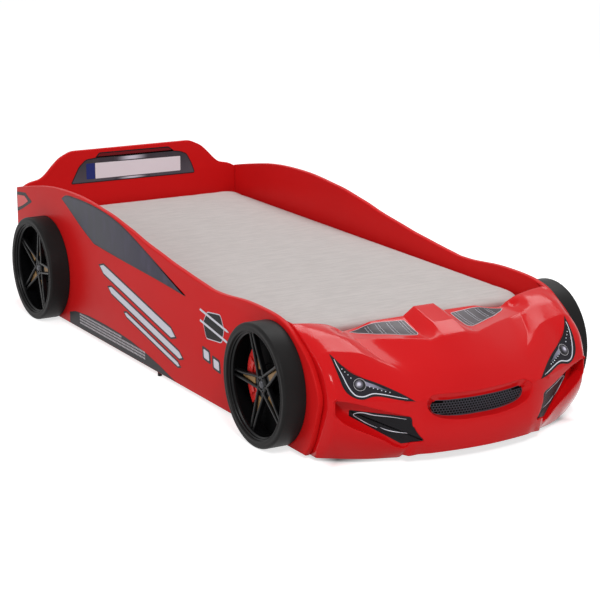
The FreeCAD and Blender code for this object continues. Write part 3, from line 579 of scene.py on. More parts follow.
def add_piece(bm: bmesh.types.BMesh, name: str, finish: Finish, replaces: Sequence[str] = (),
              body: str = BED, crease: float = 32.0) -> bpy.types.Object:
    """Turn a bmesh in millimetres into a piece of the bed.

    Args:
        bm: The mesh, used up here.
        name: The piece's name.
        finish: Its finish.
        replaces: Nodes of the frame that it stands for.
        body: The body that it rides on.
        crease: Angle in degrees from which an edge stays sharp.

    Returns:
        The piece.
    """
    bmesh.ops.scale(bm, vec=(MM, MM, MM), verts=bm.verts)
    for face in bm.faces:
        face.smooth = True
    limit = math.radians(crease)
    for edge in bm.edges:
        edge.smooth = not (len(edge.link_faces) == 2 and edge.calc_face_angle() > limit)
    mesh = bpy.data.meshes.new(name)
    bm.to_mesh(mesh)
    bm.free()
    mesh.materials.append(finish.material())
    piece = bpy.data.objects.new(name, mesh)
    bpy.context.scene.collection.objects.link(piece)
    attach(piece, body)
    if replaces:
        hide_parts(*replaces)
    LOG.info("%s: %d faces", name, len(mesh.polygons))
    return piece


def mirrored(bm: bmesh.types.BMesh) -> None:
    """Turn a mesh of the left side into one of the right side."""
    bmesh.ops.scale(bm, vec=(-1, 1, 1), verts=bm.verts)
    bmesh.ops.reverse_faces(bm, faces=bm.faces)


def rounded_plate(bm: bmesh.types.BMesh, outline: Sequence[Vector], depth: Vector, edge: float,
                  segments: int = 3) -> None:
    """Add a flat plate with rounded rims.

    Args:
        bm: The mesh to add to.
        outline: Its outline on one face.
        depth: From that face to the other.
        edge: Radius of the rims.
        segments: Facets across a rounded rim.
    """
    face = bm.faces.new([bm.verts.new(p) for p in outline])
    made = bmesh.ops.extrude_face_region(bm, geom=[face])["geom"]
    top = [g for g in made if isinstance(g, bmesh.types.BMVert)]
    bmesh.ops.translate(bm, vec=depth, verts=top)
    caps = [face] + [g for g in made if isinstance(g, bmesh.types.BMFace) and len(g.verts) == len(outline)]
    bmesh.ops.recalc_face_normals(bm, faces=bm.faces)
    if edge > 0:
        rims = list({e for cap in caps for e in cap.edges})
        bmesh.ops.bevel(bm, geom=rims, offset=edge, segments=segments, profile=0.5, affect="EDGES",
                        material=-1, clamp_overlap=True)


def tube(points: Sequence[Vector], radius: float | Sequence[float], sides: int = 8,
         closed: bool = False) -> bmesh.types.BMesh:
    """A round bar along a line.

    Args:
        points: The line.
        radius: Its radius, or one for each point.
        sides: Sides of its section.
        closed: Whether the line closes on itself.

    Returns:
        A mesh of the bar.
    """
    radii = [radius] * len(points) if isinstance(radius, (int, float)) else list(radius)
    curve = bpy.data.curves.new("line", "CURVE")
    curve.dimensions = "3D"
    curve.bevel_depth = 1.0
    curve.bevel_resolution = max(0, sides // 2 - 2)
    curve.use_fill_caps = True
    line = curve.splines.new("POLY")
    line.points.add(len(points) - 1)
    line.use_cyclic_u = closed
    for point, place, r in zip(line.points, points, radii):
        point.co = (*place, 1.0)
        point.radius = r
    carrier = bpy.data.objects.new("line", curve)
    bpy.context.scene.collection.objects.link(carrier)
    mesh = bpy.data.meshes.new_from_object(carrier)
    bm = bmesh.new()
    bm.from_mesh(mesh)
    bpy.data.objects.remove(carrier)
    bpy.data.curves.remove(curve)
    bpy.data.meshes.remove(mesh)
    return bm


def join(bm: bmesh.types.BMesh, other: bmesh.types.BMesh) -> None:
    """Add another mesh to this one and free it."""
    mesh = bpy.data.meshes.new("part")
    other.to_mesh(mesh)
    other.free()
    bm.from_mesh(mesh)
    bpy.data.meshes.remove(mesh)


class Side(Enum):
    """A side of the car, with the sign of its X."""
    LEFT = 1
    RIGHT = -1

    @property
    def word(self) -> str:
        """The side's name."""
        return self.name.lower()


def add_sided(bm: bmesh.types.BMesh, side: Side, name: str, finish: Finish,
              replaces: Sequence[str] = ()) -> None:
    """Add a piece whose mesh was made for the left side to either side.

    Args:
        bm: The mesh, used up here.
        side: The side that it goes to.
        name: The piece's name without its side.
        finish: Its finish.
        replaces: Nodes of the frame that it stands for.
    """
    if side is Side.RIGHT:
        mirrored(bm)
    add_piece(bm, name + "_" + side.word, finish, replaces)


# ---- boards and their prints --------------------------------------------------------------------
@dataclass
class SidePanel:
    """One lacquered side panel with its prints."""
    side: Side
    edge: float = 4.0               # radius of the board's rims
    slot_rows: int = 4              # rows of slots printed on the sill
    slot_columns: int = 52
    slot_start: Point = (640.0, 66.0)
    slot_pitch: Point = (10.6, 10.5)
    slot_size: float = 6.0
    plate_places: tuple[Point, ...] = ((-364, 165), (-432, 150))
    stripe_rise: float = 0.2        # rise of the stripes for each mm to the rear
    window: tuple[Point, ...] = ((1220, 440), (1183, 448), (1081, 467), (982, 484), (885, 497), (791, 504),
                                 (700, 507), (611, 507), (523, 503), (438, 496), (355, 489), (274, 477),
                                 (194, 465), (116, 450), (39, 438), (-36, 428), (-110, 417), (-183, 409),
                                 (-254, 401), (-324, 394), (-397, 387))
    hump: tuple[Point, ...] = ((-397, 387), (-460, 388), (-527, 393), (-592, 399), (-656, 402), (-718, 402),
                               (-780, 400), (-840, 393), (-870, 386))
    front: tuple[Point, ...] = ((-870, 386), (-900, 375), (-929, 358), (-958, 341), (-1016, 295),
                                (-1045, 252), (-1065, 206), (-1057, 159), (-1040, 108), (-1012, 45),
                                (-987, 13))

    def __post_init__(self) -> None:
        """Read the panel's place from the frame."""
        low, high = box_of("side_panel_" + self.side.word)
        self.inner = min(abs(low.x), abs(high.x))
        self.outer = max(abs(low.x), abs(high.x))
        self.foot = low.z
        self.rear = high.y

    def outline(self) -> list[Point]:
        """The panel's outline, from the rear end over the top to the foot of the front end."""
        top = spline_through(self.window, 70) + spline_through(self.hump, 26)[1:]
        return top + spline_through(self.front, 26)[1:] + [(self.rear, self.foot)]

    def board(self) -> None:
        """The board itself, with rounded rims."""
        bm = bmesh.new()
        outline = [Vector((self.inner, y, z)) for y, z in self.outline()]
        rounded_plate(bm, outline, Vector((self.outer - self.inner, 0, 0)), self.edge, 4)
        add_sided(bm, self.side, "side_board", RED_BOARD, ["side_panel_" + self.side.word])

    def film(self, outlines: Sequence[Sequence[Point]], level: float, name: str, finish: Finish, slot: str,
             thickness: float = FILM) -> None:
        """Add a print of thin films on the outer face.

        Args:
            outlines: One outline for each film.
            level: How far the films start over the board.
            name: The print's name without its side.
            finish: Its finish.
            slot: Not used.
            thickness: Thickness of the films.
        """
        bm = bmesh.new()
        for outline in outlines:
            points = [Vector((self.outer + level, y, z)) for y, z in outline]
            rounded_plate(bm, points, Vector((thickness, 0, 0)), 0.0)
        add_sided(bm, self.side, name, finish)

    def window_print(self) -> None:
        """Tinted window with a dark border."""
        top = spline_through(((779, 472), (752, 487), (690, 496), (567, 498), (438, 493), (273, 472),
                              (116, 430), (-35, 384), (-222, 325)), 48)
        low = spline_through(((-222, 325), (-33, 335), (120, 341), (280, 347), (498, 358)), 20)
        back = spline_through(((498, 358), (617, 402), (739, 456), (779, 472)), 10)
        outline = top[:-1] + low[:-1] + back[:-1]
        self.film([outline], 0.0, "window_border", PRINT_BLACK, "lamp_print")
        self.film([shrink(outline, 4.0)], FILM, "window_tint", WINDOW_FILM, "vent_print")

    def sill_print(self) -> None:
        """Black sill panel with rows of pale slanting slots."""
        low = self.foot + 3
        outline = [(733, low), (733, 57), (680, 71), (560, 80), (421, 81), (300, 78), (209, 73), (79, 58),
                   (-21, 41), (-100, 24), (-140, low)]
        self.film([outline], 0.0, "sill_border", PRINT_BLACK, "lamp_print")
        slots, size = [], self.slot_size
        for row in range(self.slot_rows):
            z = self.slot_start[1] - self.slot_pitch[1] * row
            for column in range(self.slot_columns):
                y = self.slot_start[0] - self.slot_pitch[0] * column
                if z < 60 + (y - 80) * 0.03 and y > 120 - z * 1.6 + 6 * (3 - row):
                    slots.append([(y, z), (y - size, z), (y - size + 1, z + size), (y + 1, z + size)])
        self.film(slots, FILM, "sill_slots", PRINT_PALE, "vent_print", 0.3)

    def tail_print(self) -> None:
        """Tail lamp print at the rear end."""
        outline = rounded([(1216, 424), (1130, 434), (1066, 409), (1150, 372), (1216, 346)], 8)
        lens = rounded([(1212, 412), (1140, 420), (1104, 405), (1160, 380), (1212, 362)], 6)
        self.film([outline], 0.0, "tail_border", PRINT_BLACK, "lamp_print")
        self.film([lens], FILM, "tail_lens", RED_CALIPER, "caliper")

    def vent_print(self) -> None:
        """Side vent print: a dark mesh shield with a thin rim and two slanting silver slats."""
        shield = rounded([(-371, 310), (-462, 321), (-488, 277), (-471, 229), (-364, 219), (-342, 268)], 12)
        slat = ((-322, 290), (-326, 297), (-505, 268), (-520, 262), (-505, 260))
        slats = [[(y, z + rise) for y, z in slat] for rise in (14, -22)]
        self.film([shield], 0.0, "flank_vent_rim", SILVER, "vent_print")
        self.film([shrink(shield, 3.0)], FILM, "flank_vent", FOG_MESH, "lamp_print")
        self.film(slats, 2 * FILM, "flank_vent_slats", SILVER, "vent_print")

    def stripe(self, rear: float, front: float, level: float, height: float, grow: float) -> list[Point]:
        """Outline of a stripe that rises to the rear.

        Args:
            rear: Its rear end.
            front: Its front end.
            level: Height of its lower edge, before the rise.
            height: Its height.
            grow: How far the outline stands out on all sides.

        Returns:
            The outline, pointed at both ends.
        """
        rows = [(rear + 2 * grow, level + height / 2), (rear - height, level + height + grow),
                (front + height, level + height + grow), (front - 2 * grow, level + height / 2),
                (front + height, level - grow), (rear - height, level - grow)]
        return [(y, z + (y - 140) * self.stripe_rise) for y, z in rows]

    def stripe_print(self) -> None:
        """Plain racing stripes and two small plates, silver over a dark shadow."""
        bars = ((450, -140, 212, 30), (380, -190, 166, 22), (250, -170, 134, 13))
        leaning = ((20, -15), (-24, -20), (-20, 15), (24, 20))
        shadow = ("shadow", 0.0, PRINT_BLACK, "lamp_print")
        silver = ("silver", FILM, SILVER, "vent_print")
        for (word, level, finish, slot), grow in ((shadow, 6.0), (silver, 0.0)):
            self.film([self.stripe(*bar, grow) for bar in bars], level, "stripe_" + word, finish, slot)
        for (word, level, finish, slot), share, corner in ((shadow, 1.25, 8), (silver, 0.82, 6)):
            plates = [rounded([(y + dy * share, z + dz * share) for dy, dz in leaning], corner)
                      for y, z in self.plate_places]
            self.film(plates, level, "dash_" + word, finish, slot)

    def build(self) -> None:
        """Make the board and its prints."""
        self.board()
        self.window_print()
        self.sill_print()
        self.tail_print()
        self.vent_print()
        self.stripe_print()


@dataclass
class Headboard:
    """Board across the rear end, printed on its front face."""
    edge: float = 4.0               # radius of the board's rims
    slope: tuple[Point, ...] = ((460, 441), (433, 455), (412, 460), (391, 465), (370, 478), (347, 501),
                                (325, 523), (303, 541), (281, 552), (259, 561), (240, 563))

    def __post_init__(self) -> None:
        """Read the board's place from the frame."""
        self.low, self.high = box_of("headboard")

    def board(self) -> None:
        """The board with rounded rims."""
        half = spline_through(self.slope, 34)
        points = [(self.high.x, self.low.z)] + half + [(-x, z) for x, z in reversed(half)]
        points.append((-self.high.x, self.low.z))
        bm = bmesh.new()
        rounded_plate(bm, [Vector((x, self.low.y, z)) for x, z in points],
                      Vector((0, self.high.y - self.low.y, 0)), self.edge, 4)
        add_piece(bm, "headboard_panel", RED_BOARD, ["headboard"])

    def film(self, outline: Sequence[Point], level: float, name: str, finish: Finish, slot: str) -> None:
        """Add a thin film on the front face, from a level over the board."""
        bm = bmesh.new()
        rounded_plate(bm, [Vector((x, self.low.y - level, z)) for x, z in outline],
                      Vector((0, -FILM, 0)), 0.0)
        add_piece(bm, name, finish)

    def prints(self) -> None:
        """Dark surround with a plain plate, a blue band and the slit above it."""
        surround = rounded([(-264, 433), (-228, 500), (-198, 526), (-146, 531), (176, 529), (212, 524),
                            (240, 512), (262, 472), (277, 430)], 10)
        slit = rounded([(-158, 529), (-140, 549), (160, 547), (186, 527)], 6)
        self.film(slit, 0.0, "slit_border", PRINT_BLACK, "lamp_print")
        self.film(shrink(slit, 4.5), FILM, "slit_inside", PRINT_RED, "caliper")
        self.film(surround, FILM, "plate_border", PRINT_BLACK, "lamp_print")
        self.film(shrink(surround, 3.5), 2 * FILM, "plate_surround", SURROUND_FILM, "vent_print")
        for low, high, name in ((511, 525, "plate_gleam_top"), (436, 443, "plate_gleam_foot")):
            self.film([(-78, low), (78, low), (78, high), (-78, high)], 3 * FILM, name, GLEAM_FILM,
                      "vent_print")
        self.film(rounded([(-159, 509), (211, 504), (211, 446), (-159, 447)], 3), 3 * FILM, "plate_blank",
                  PLATE, "mattress_cover")
        self.film(rounded([(-197, 509), (-161, 509), (-161, 447), (-197, 448)], 2), 3 * FILM, "plate_band",
                  BAND_BLUE, "lamp_print")

    def build(self) -> None:
        """Make the board and its prints."""
        self.board()
        self.prints()


@dataclass
class CrossPanel:
    """Low board behind the nose."""
    edge: float = 3.0               # radius of its rims

    def build(self) -> None:
        """Make the board with rounded rims."""
        low, high = box_of("front_cross_panel")
        corners = [(low.x, low.z), (high.x, low.z), (high.x, high.z), (low.x, high.z)]
        bm = bmesh.new()
        rounded_plate(bm, [Vector((x, low.y, z)) for x, z in corners], Vector((0, high.y - low.y, 0)),
                      self.edge)
        add_piece(bm, "cross_board", RED_BOARD, ["front_cross_panel"])


# ---- nose ---------------------------------------------------------------------------------------
@dataclass
class NoseSkin:
    """The moulded face of the nose: nine rings over the width, joined by smooth sections.

    A place on it is (column, ring): the distance from the middle, and a number from 0 at the rear edge to 8
    at the foot. Ring rows hold (from the middle, ahead of the rear edge, height). The hump's top and foot lie
    at hump_edges on rings 0 to 2, on the columns hump_columns. Rings 0 to 6 meet the fender at folds, on the
    column fold_column.
    """
    back: float
    rings: tuple[tuple[tuple[float, float, float], ...], ...] = (
        ((0, 0, 386), (36, 0, 386), (74, 0, 360), (185, 0, 359), (235, 0, 348), (285, 0, 342),
         (312, 0, 356), (345, 0, 370), (405, 0, 382), (460, 0, 388)),
        ((0, 107, 361), (38, 107, 361), (84, 116, 332), (130, 98, 334), (200, 66, 340),
         (285, 40, 342), (320, 40, 352), (370, 40, 371), (425, 40, 376), (460, 40, 372)),
        ((0, 172, 338), (40, 172, 336), (87, 167, 330), (130, 150, 333), (191, 124, 336), (250, 101, 337),
         (300, 88, 340), (325, 86, 349), (370, 84, 359), (425, 82, 362), (445, 80, 360), (460, 77, 354)),
        ((0, 228, 294), (87, 223, 291), (209, 194, 290), (262, 182, 294), (301, 171, 309),
         (326, 160, 318), (370, 150, 325), (421, 145, 332), (445, 145, 326), (460, 145, 312)),
        ((0, 280, 247), (87, 274, 246), (207, 255, 247), (254, 236, 260), (291, 222, 268),
         (326, 210, 274), (370, 203, 270), (421, 198, 277), (445, 194, 276), (460, 182, 277)),
        ((0, 315, 193), (170, 309, 194), (225, 303, 195), (254, 295, 198), (326, 265, 204),
         (370, 248, 208), (421, 233, 211), (445, 226, 212), (460, 209, 208)),
        ((0, 328, 140), (170, 320, 142), (205, 313, 146), (240, 302, 150), (255, 296, 150),
         (326, 268, 160), (370, 249, 168), (421, 233, 178), (445, 226, 180), (460, 209, 176)),
        ((0, 335, 82), (40, 335, 82), (170, 326, 80), (205, 316, 74), (236, 301, 66), (243, 290, 53),
         (246, 284, 47), (255, 280, 44), (326, 260, 80), (370, 248, 102), (405, 238, 121), (434, 229, 143),
         (445, 226, 156), (460, 201, 156)),
        ((0, 330, 33), (170, 312, 32), (205, 297, 30), (236, 288, 27), (243, 264, 26), (246, 254, 15),
         (255, 250, 14), (326, 222, 14), (370, 198, 14), (421, 163, 14), (445, 147, 14), (460, 134, 14)))
    hump_edges: tuple[Point, ...] = ((36, 74), (38, 84), (40, 87))
    hump_columns: Point = (38.0, 84.0)
    flap_columns: Triple = (236.0, 243.0, 246.0)                  # columns of the step at the flap's tip
    edge_column: float = 445.0                                    # column where the cheek turns to the side
    folds: tuple[float, ...] = (285, 292, 300, 262, 207, 203, 232)
    fold_column: float = 256.0
    folded: tuple[int, ...] = (2, 3, 4)                           # rings with a crisp fold there
    breaks: tuple[int, ...] = (0, 2, 5, 8)                        # rings where a section may turn a corner
    brow: int = 3                                                 # ring of the corner over the fender
    brow_blend: float = 26.0                                      # width over which that corner comes in
    dent: tuple[float, ...] = (322, 26, 13, 5)                    # x, ahead, size and depth of a rear hollow
    width: float = 460.0
    column_step: float = 2.0                                      # of the fine table
    ring_steps: int = 20                                          # of the fine table, from ring to ring

    def __post_init__(self) -> None:
        """Work out a fine table of the surface."""
        self.columns = np.arange(0.0, self.width + 0.1, self.column_step)
        rows = [self._ring(number) for number in range(len(self.rings))]
        knots = np.stack(rows, axis=1)                               # column, ring, (x, ahead, height)
        count = (len(self.rings) - 1) * self.ring_steps + 1
        self.table = np.zeros((len(self.columns), count, 3))
        for index, column in enumerate(self.columns):
            corners = list(self.breaks)
            if column <= self.hump_columns[0] + 0.1:
                corners = sorted({*corners, 1, self.brow})
            self.table[index] = self._section(knots[index], corners)
            share = min(1.0, max(0.0, (column - self.fold_column) / self.brow_blend))
            if share > 0:
                sharp = self._section(knots[index], sorted({*corners, self.brow}))
                self.table[index] += (sharp - self.table[index]) * share
        x, ahead, size, depth = self.dent
        reach = ((self.table[:, :, 0] - x) / size) ** 2 + ((self.table[:, :, 1] - ahead) / size) ** 2
        self.table[:, :, 2] -= depth * np.exp(-reach ** 2)

    def _section(self, knots: np.ndarray, corners: Sequence[int]) -> np.ndarray:
        """A column's section through its places on the rings, smooth between the corners."""
        made = np.zeros(((len(knots) - 1) * self.ring_steps + 1, 3))
        for first, last in zip(corners, corners[1:]):
            part = knots[first:last + 1]
            way = np.concatenate([[0.0], np.cumsum(np.linalg.norm(np.diff(part, axis=0), axis=1))])
            rings = np.arange(last - first + 1)
            at = np.interp(np.linspace(0, last - first, (last - first) * self.ring_steps + 1), rings, way)
            start = first * self.ring_steps
            made[start:start + len(at)] = spline_at(way, part, at)
        return made

    def _ring(self, number: int) -> np.ndarray:
        """(x, ahead, height) of one ring at every column."""
        table = np.array(self.rings[number], float)
        humped = number < len(self.hump_edges)
        top, foot = self.hump_edges[number] if humped else self.hump_columns
        fold = self.folds[number] if number < len(self.folds) else self.fold_column
        stops = [0, *self.hump_columns, 130, self.fold_column, 345, self.width]
        x = np.interp(self.columns, stops, [0, top, foot, 130, fold, 345, self.width])
        breaks = [foot] if humped else []
        breaks += [fold] if number in self.folded else []
        cuts = [0] + [int(np.argmin(abs(table[:, 0] - b))) for b in breaks] + [len(table) - 1]
        made = [x]
        for value in (1, 2):
            read = np.zeros_like(x)
            for order, (first, last) in enumerate(zip(cuts, cuts[1:])):
                part = table[first:last + 1]
                here = (x >= part[0, 0]) & (x <= part[-1, 0])
                if humped and order == 0:
                    read[here] = np.interp(x[here], part[:, 0], part[:, value])
                else:
                    read[here] = gentle(part[:, 0], part[:, value], x[here], order == 0)
            made.append(read)
        return np.stack(made, axis=1)

    def point(self, column: float, ring: float) -> Vector:
        """A place on the skin, in millimetres."""
        c = min(max(column / self.column_step, 0.0), len(self.columns) - 1.001)
        r = min(max(ring * self.ring_steps, 0.0), self.table.shape[1] - 1.001)
        i, j = int(c), int(r)
        a, b = c - i, r - j
        t = self.table
        x, ahead, height = ((t[i, j] * (1 - a) + t[i + 1, j] * a) * (1 - b)
                            + (t[i, j + 1] * (1 - a) + t[i + 1, j + 1] * a) * b)
        return Vector((x, self.back - ahead, height))

    def normal(self, column: float, ring: float) -> Vector:
        """Direction out of the skin at a place."""
        last = len(self.rings) - 1
        c, r = min(max(column, 3.0), self.width - 3.0), min(max(ring, 0.08), last - 0.08)
        across = self.point(c + 2.5, r) - self.point(c - 2.5, r)
        down = self.point(c, r + 0.06) - self.point(c, r - 0.06)
        return down.cross(across).normalized()

    def lifted(self, column: float, ring: float, lift: float) -> Vector:
        """A place at a height over the skin."""
        return self.point(column, ring) + self.normal(column, ring) * lift

    def column_section(self, column: float) -> np.ndarray:
        """The fine section at any column."""
        c = min(max(column / self.column_step, 0.0), len(self.columns) - 1.001)
        i, a = int(c), c - int(c)
        return self.table[i] * (1 - a) + self.table[i + 1] * a

    def ring_at_height(self, column: float, height: float) -> float:
        """The ring number at which the front of the skin passes a height."""
        section = self.column_section(column)[2 * self.ring_steps:, 2]
        rings = np.arange(len(section)) / self.ring_steps + 2
        return float(np.interp(-height, -section, rings))

    def ring_ahead(self, column: float, ahead: float) -> float:
        """The ring number at which the bonnet reaches a distance ahead of the rear edge."""
        section = self.column_section(column)[:3 * self.ring_steps, 1]
        return float(np.interp(ahead, section, np.arange(len(section)) / self.ring_steps))

    def find(self, x: float, value: float, ring_at: Callable[[float, float], float]) -> Point:
        """The (column, ring) of a place.

        Args:
            x: Its distance from the middle.
            value: Its height, or how far it is ahead of the rear edge.
            ring_at: Finds the ring from a column and that value.

        Returns:
            Its column and ring.
        """
        column = x
        for _ in range(14):
            column += x - self.point(column, ring_at(column, value)).x
            column = min(max(column, 0.0), self.width)
        return column, ring_at(column, value)


@dataclass
class NoseFace:
    """Meshes laid on the nose: cut out flat as (column, ring), then wrapped onto the skin."""
    skin: NoseSkin
    cell: float = 7.5               # size of the mesh's cells
    spread: float = 45.0            # flat distance between two rings

    def flat(self, outlines: Sequence[Sequence[Point]], ring_lines: Sequence[float] = (),
             column_lines: Sequence[float] = ()) -> bmesh.types.BMesh:
        """Cut a flat sheet of even cells.

        Args:
            outlines: Closed outlines of (column, ring); the first holds the others as holes.
            ring_lines: Extra rings to cut along.
            column_lines: Extra columns to cut along.

        Returns:
            The flat mesh, with the ring times the spread as its Y.
        """
        bm = bmesh.new()
        edges = []
        for outline in outlines:
            edges += loop_edges(bm, [Vector((c, r * self.spread, 0)) for c, r in outline])
        bmesh.ops.triangle_fill(bm, use_beauty=True, edges=edges, normal=(0, 0, 1))
        low = [min(v.co[k] for v in bm.verts) for k in (0, 1)]
        high = [max(v.co[k] for v in bm.verts) for k in (0, 1)]
        cuts = []
        for k, extra in ((0, column_lines), (1, [r * self.spread for r in ring_lines])):
            stops = sorted({low[k], high[k], *[e for e in extra if low[k] < e < high[k]]})
            for start, end in zip(stops, stops[1:]):
                count = max(1, round((end - start) / self.cell))
                first = 0 if start in extra else 1
                cuts += [(k, start + (end - start) * i / count) for i in range(first, count)]
        for k, at in cuts:
            normal = Vector((1 - k, k, 0))
            bmesh.ops.bisect_plane(bm, geom=bm.verts[:] + bm.edges[:] + bm.faces[:], dist=0.02,
                                   plane_co=normal * at, plane_no=normal)
        ends = [(e, e.verts[0].co - e.verts[1].co) for e in bm.edges if not e.is_boundary]
        stray = [e for e, way in ends if min(abs(way.x), abs(way.y)) > 0.01]
        bmesh.ops.dissolve_edges(bm, edges=stray)
        spare = [v for v in bm.verts if len(v.link_edges) == 2 and not v.is_boundary]
        bmesh.ops.dissolve_verts(bm, verts=spare)
        return bm

    def wrap(self, bm: bmesh.types.BMesh) -> None:
        """Lay a flat sheet on the skin."""
        for vert in bm.verts:
            vert.co = self.skin.point(vert.co.x, vert.co.y / self.spread)

    def inlay(self, outline: Sequence[Point], lift: float, depth: float) -> bmesh.types.BMesh:
        """A thin panel on the skin, with its rim turned down.

        Args:
            outline: Its outline as (column, ring).
            lift: Height of its face over the skin.
            depth: How far its rim reaches down.

        Returns:
            The panel's mesh.
        """
        bm = self.flat([outline])
        border = [e for e in bm.edges if e.is_boundary]
        made = bmesh.ops.extrude_edge_only(bm, edges=border)["geom"]
        lower = {v for v in made if isinstance(v, bmesh.types.BMVert)}
        places = {v: (v.co.x, v.co.y / self.spread) for v in bm.verts}
        for vert, (column, ring) in places.items():
            vert.co = self.skin.lifted(column, ring, lift - depth if vert in lower else lift)
        orient(bm)
        return bm

    def front(self, outline: Sequence[Point]) -> list[Point]:
        """(column, ring) of an outline given as (from the middle, height)."""
        return [self.skin.find(x, z, self.skin.ring_at_height) for x, z in outline]

    def bonnet(self, outline: Sequence[Point]) -> list[Point]:
        """(column, ring) of an outline given as (from the middle, ahead of the rear edge)."""
        return [self.skin.find(x, ahead, self.skin.ring_ahead) for x, ahead in outline]


def orient(bm: bmesh.types.BMesh) -> None:
    """Turn the faces of an open sheet so that most of them look forward and up."""
    bmesh.ops.recalc_face_normals(bm, faces=bm.faces)
    bm.normal_update()
    facing = sum(f.calc_area() * (f.normal.z - f.normal.y) for f in bm.faces)
    if facing < 0:
        bmesh.ops.reverse_faces(bm, faces=bm.faces)


def key(place: Vector) -> tuple[int, int, int]:
    """A place rounded to a hundredth of a millimetre, to find it again."""
    return tuple(round(c * 100) for c in place)


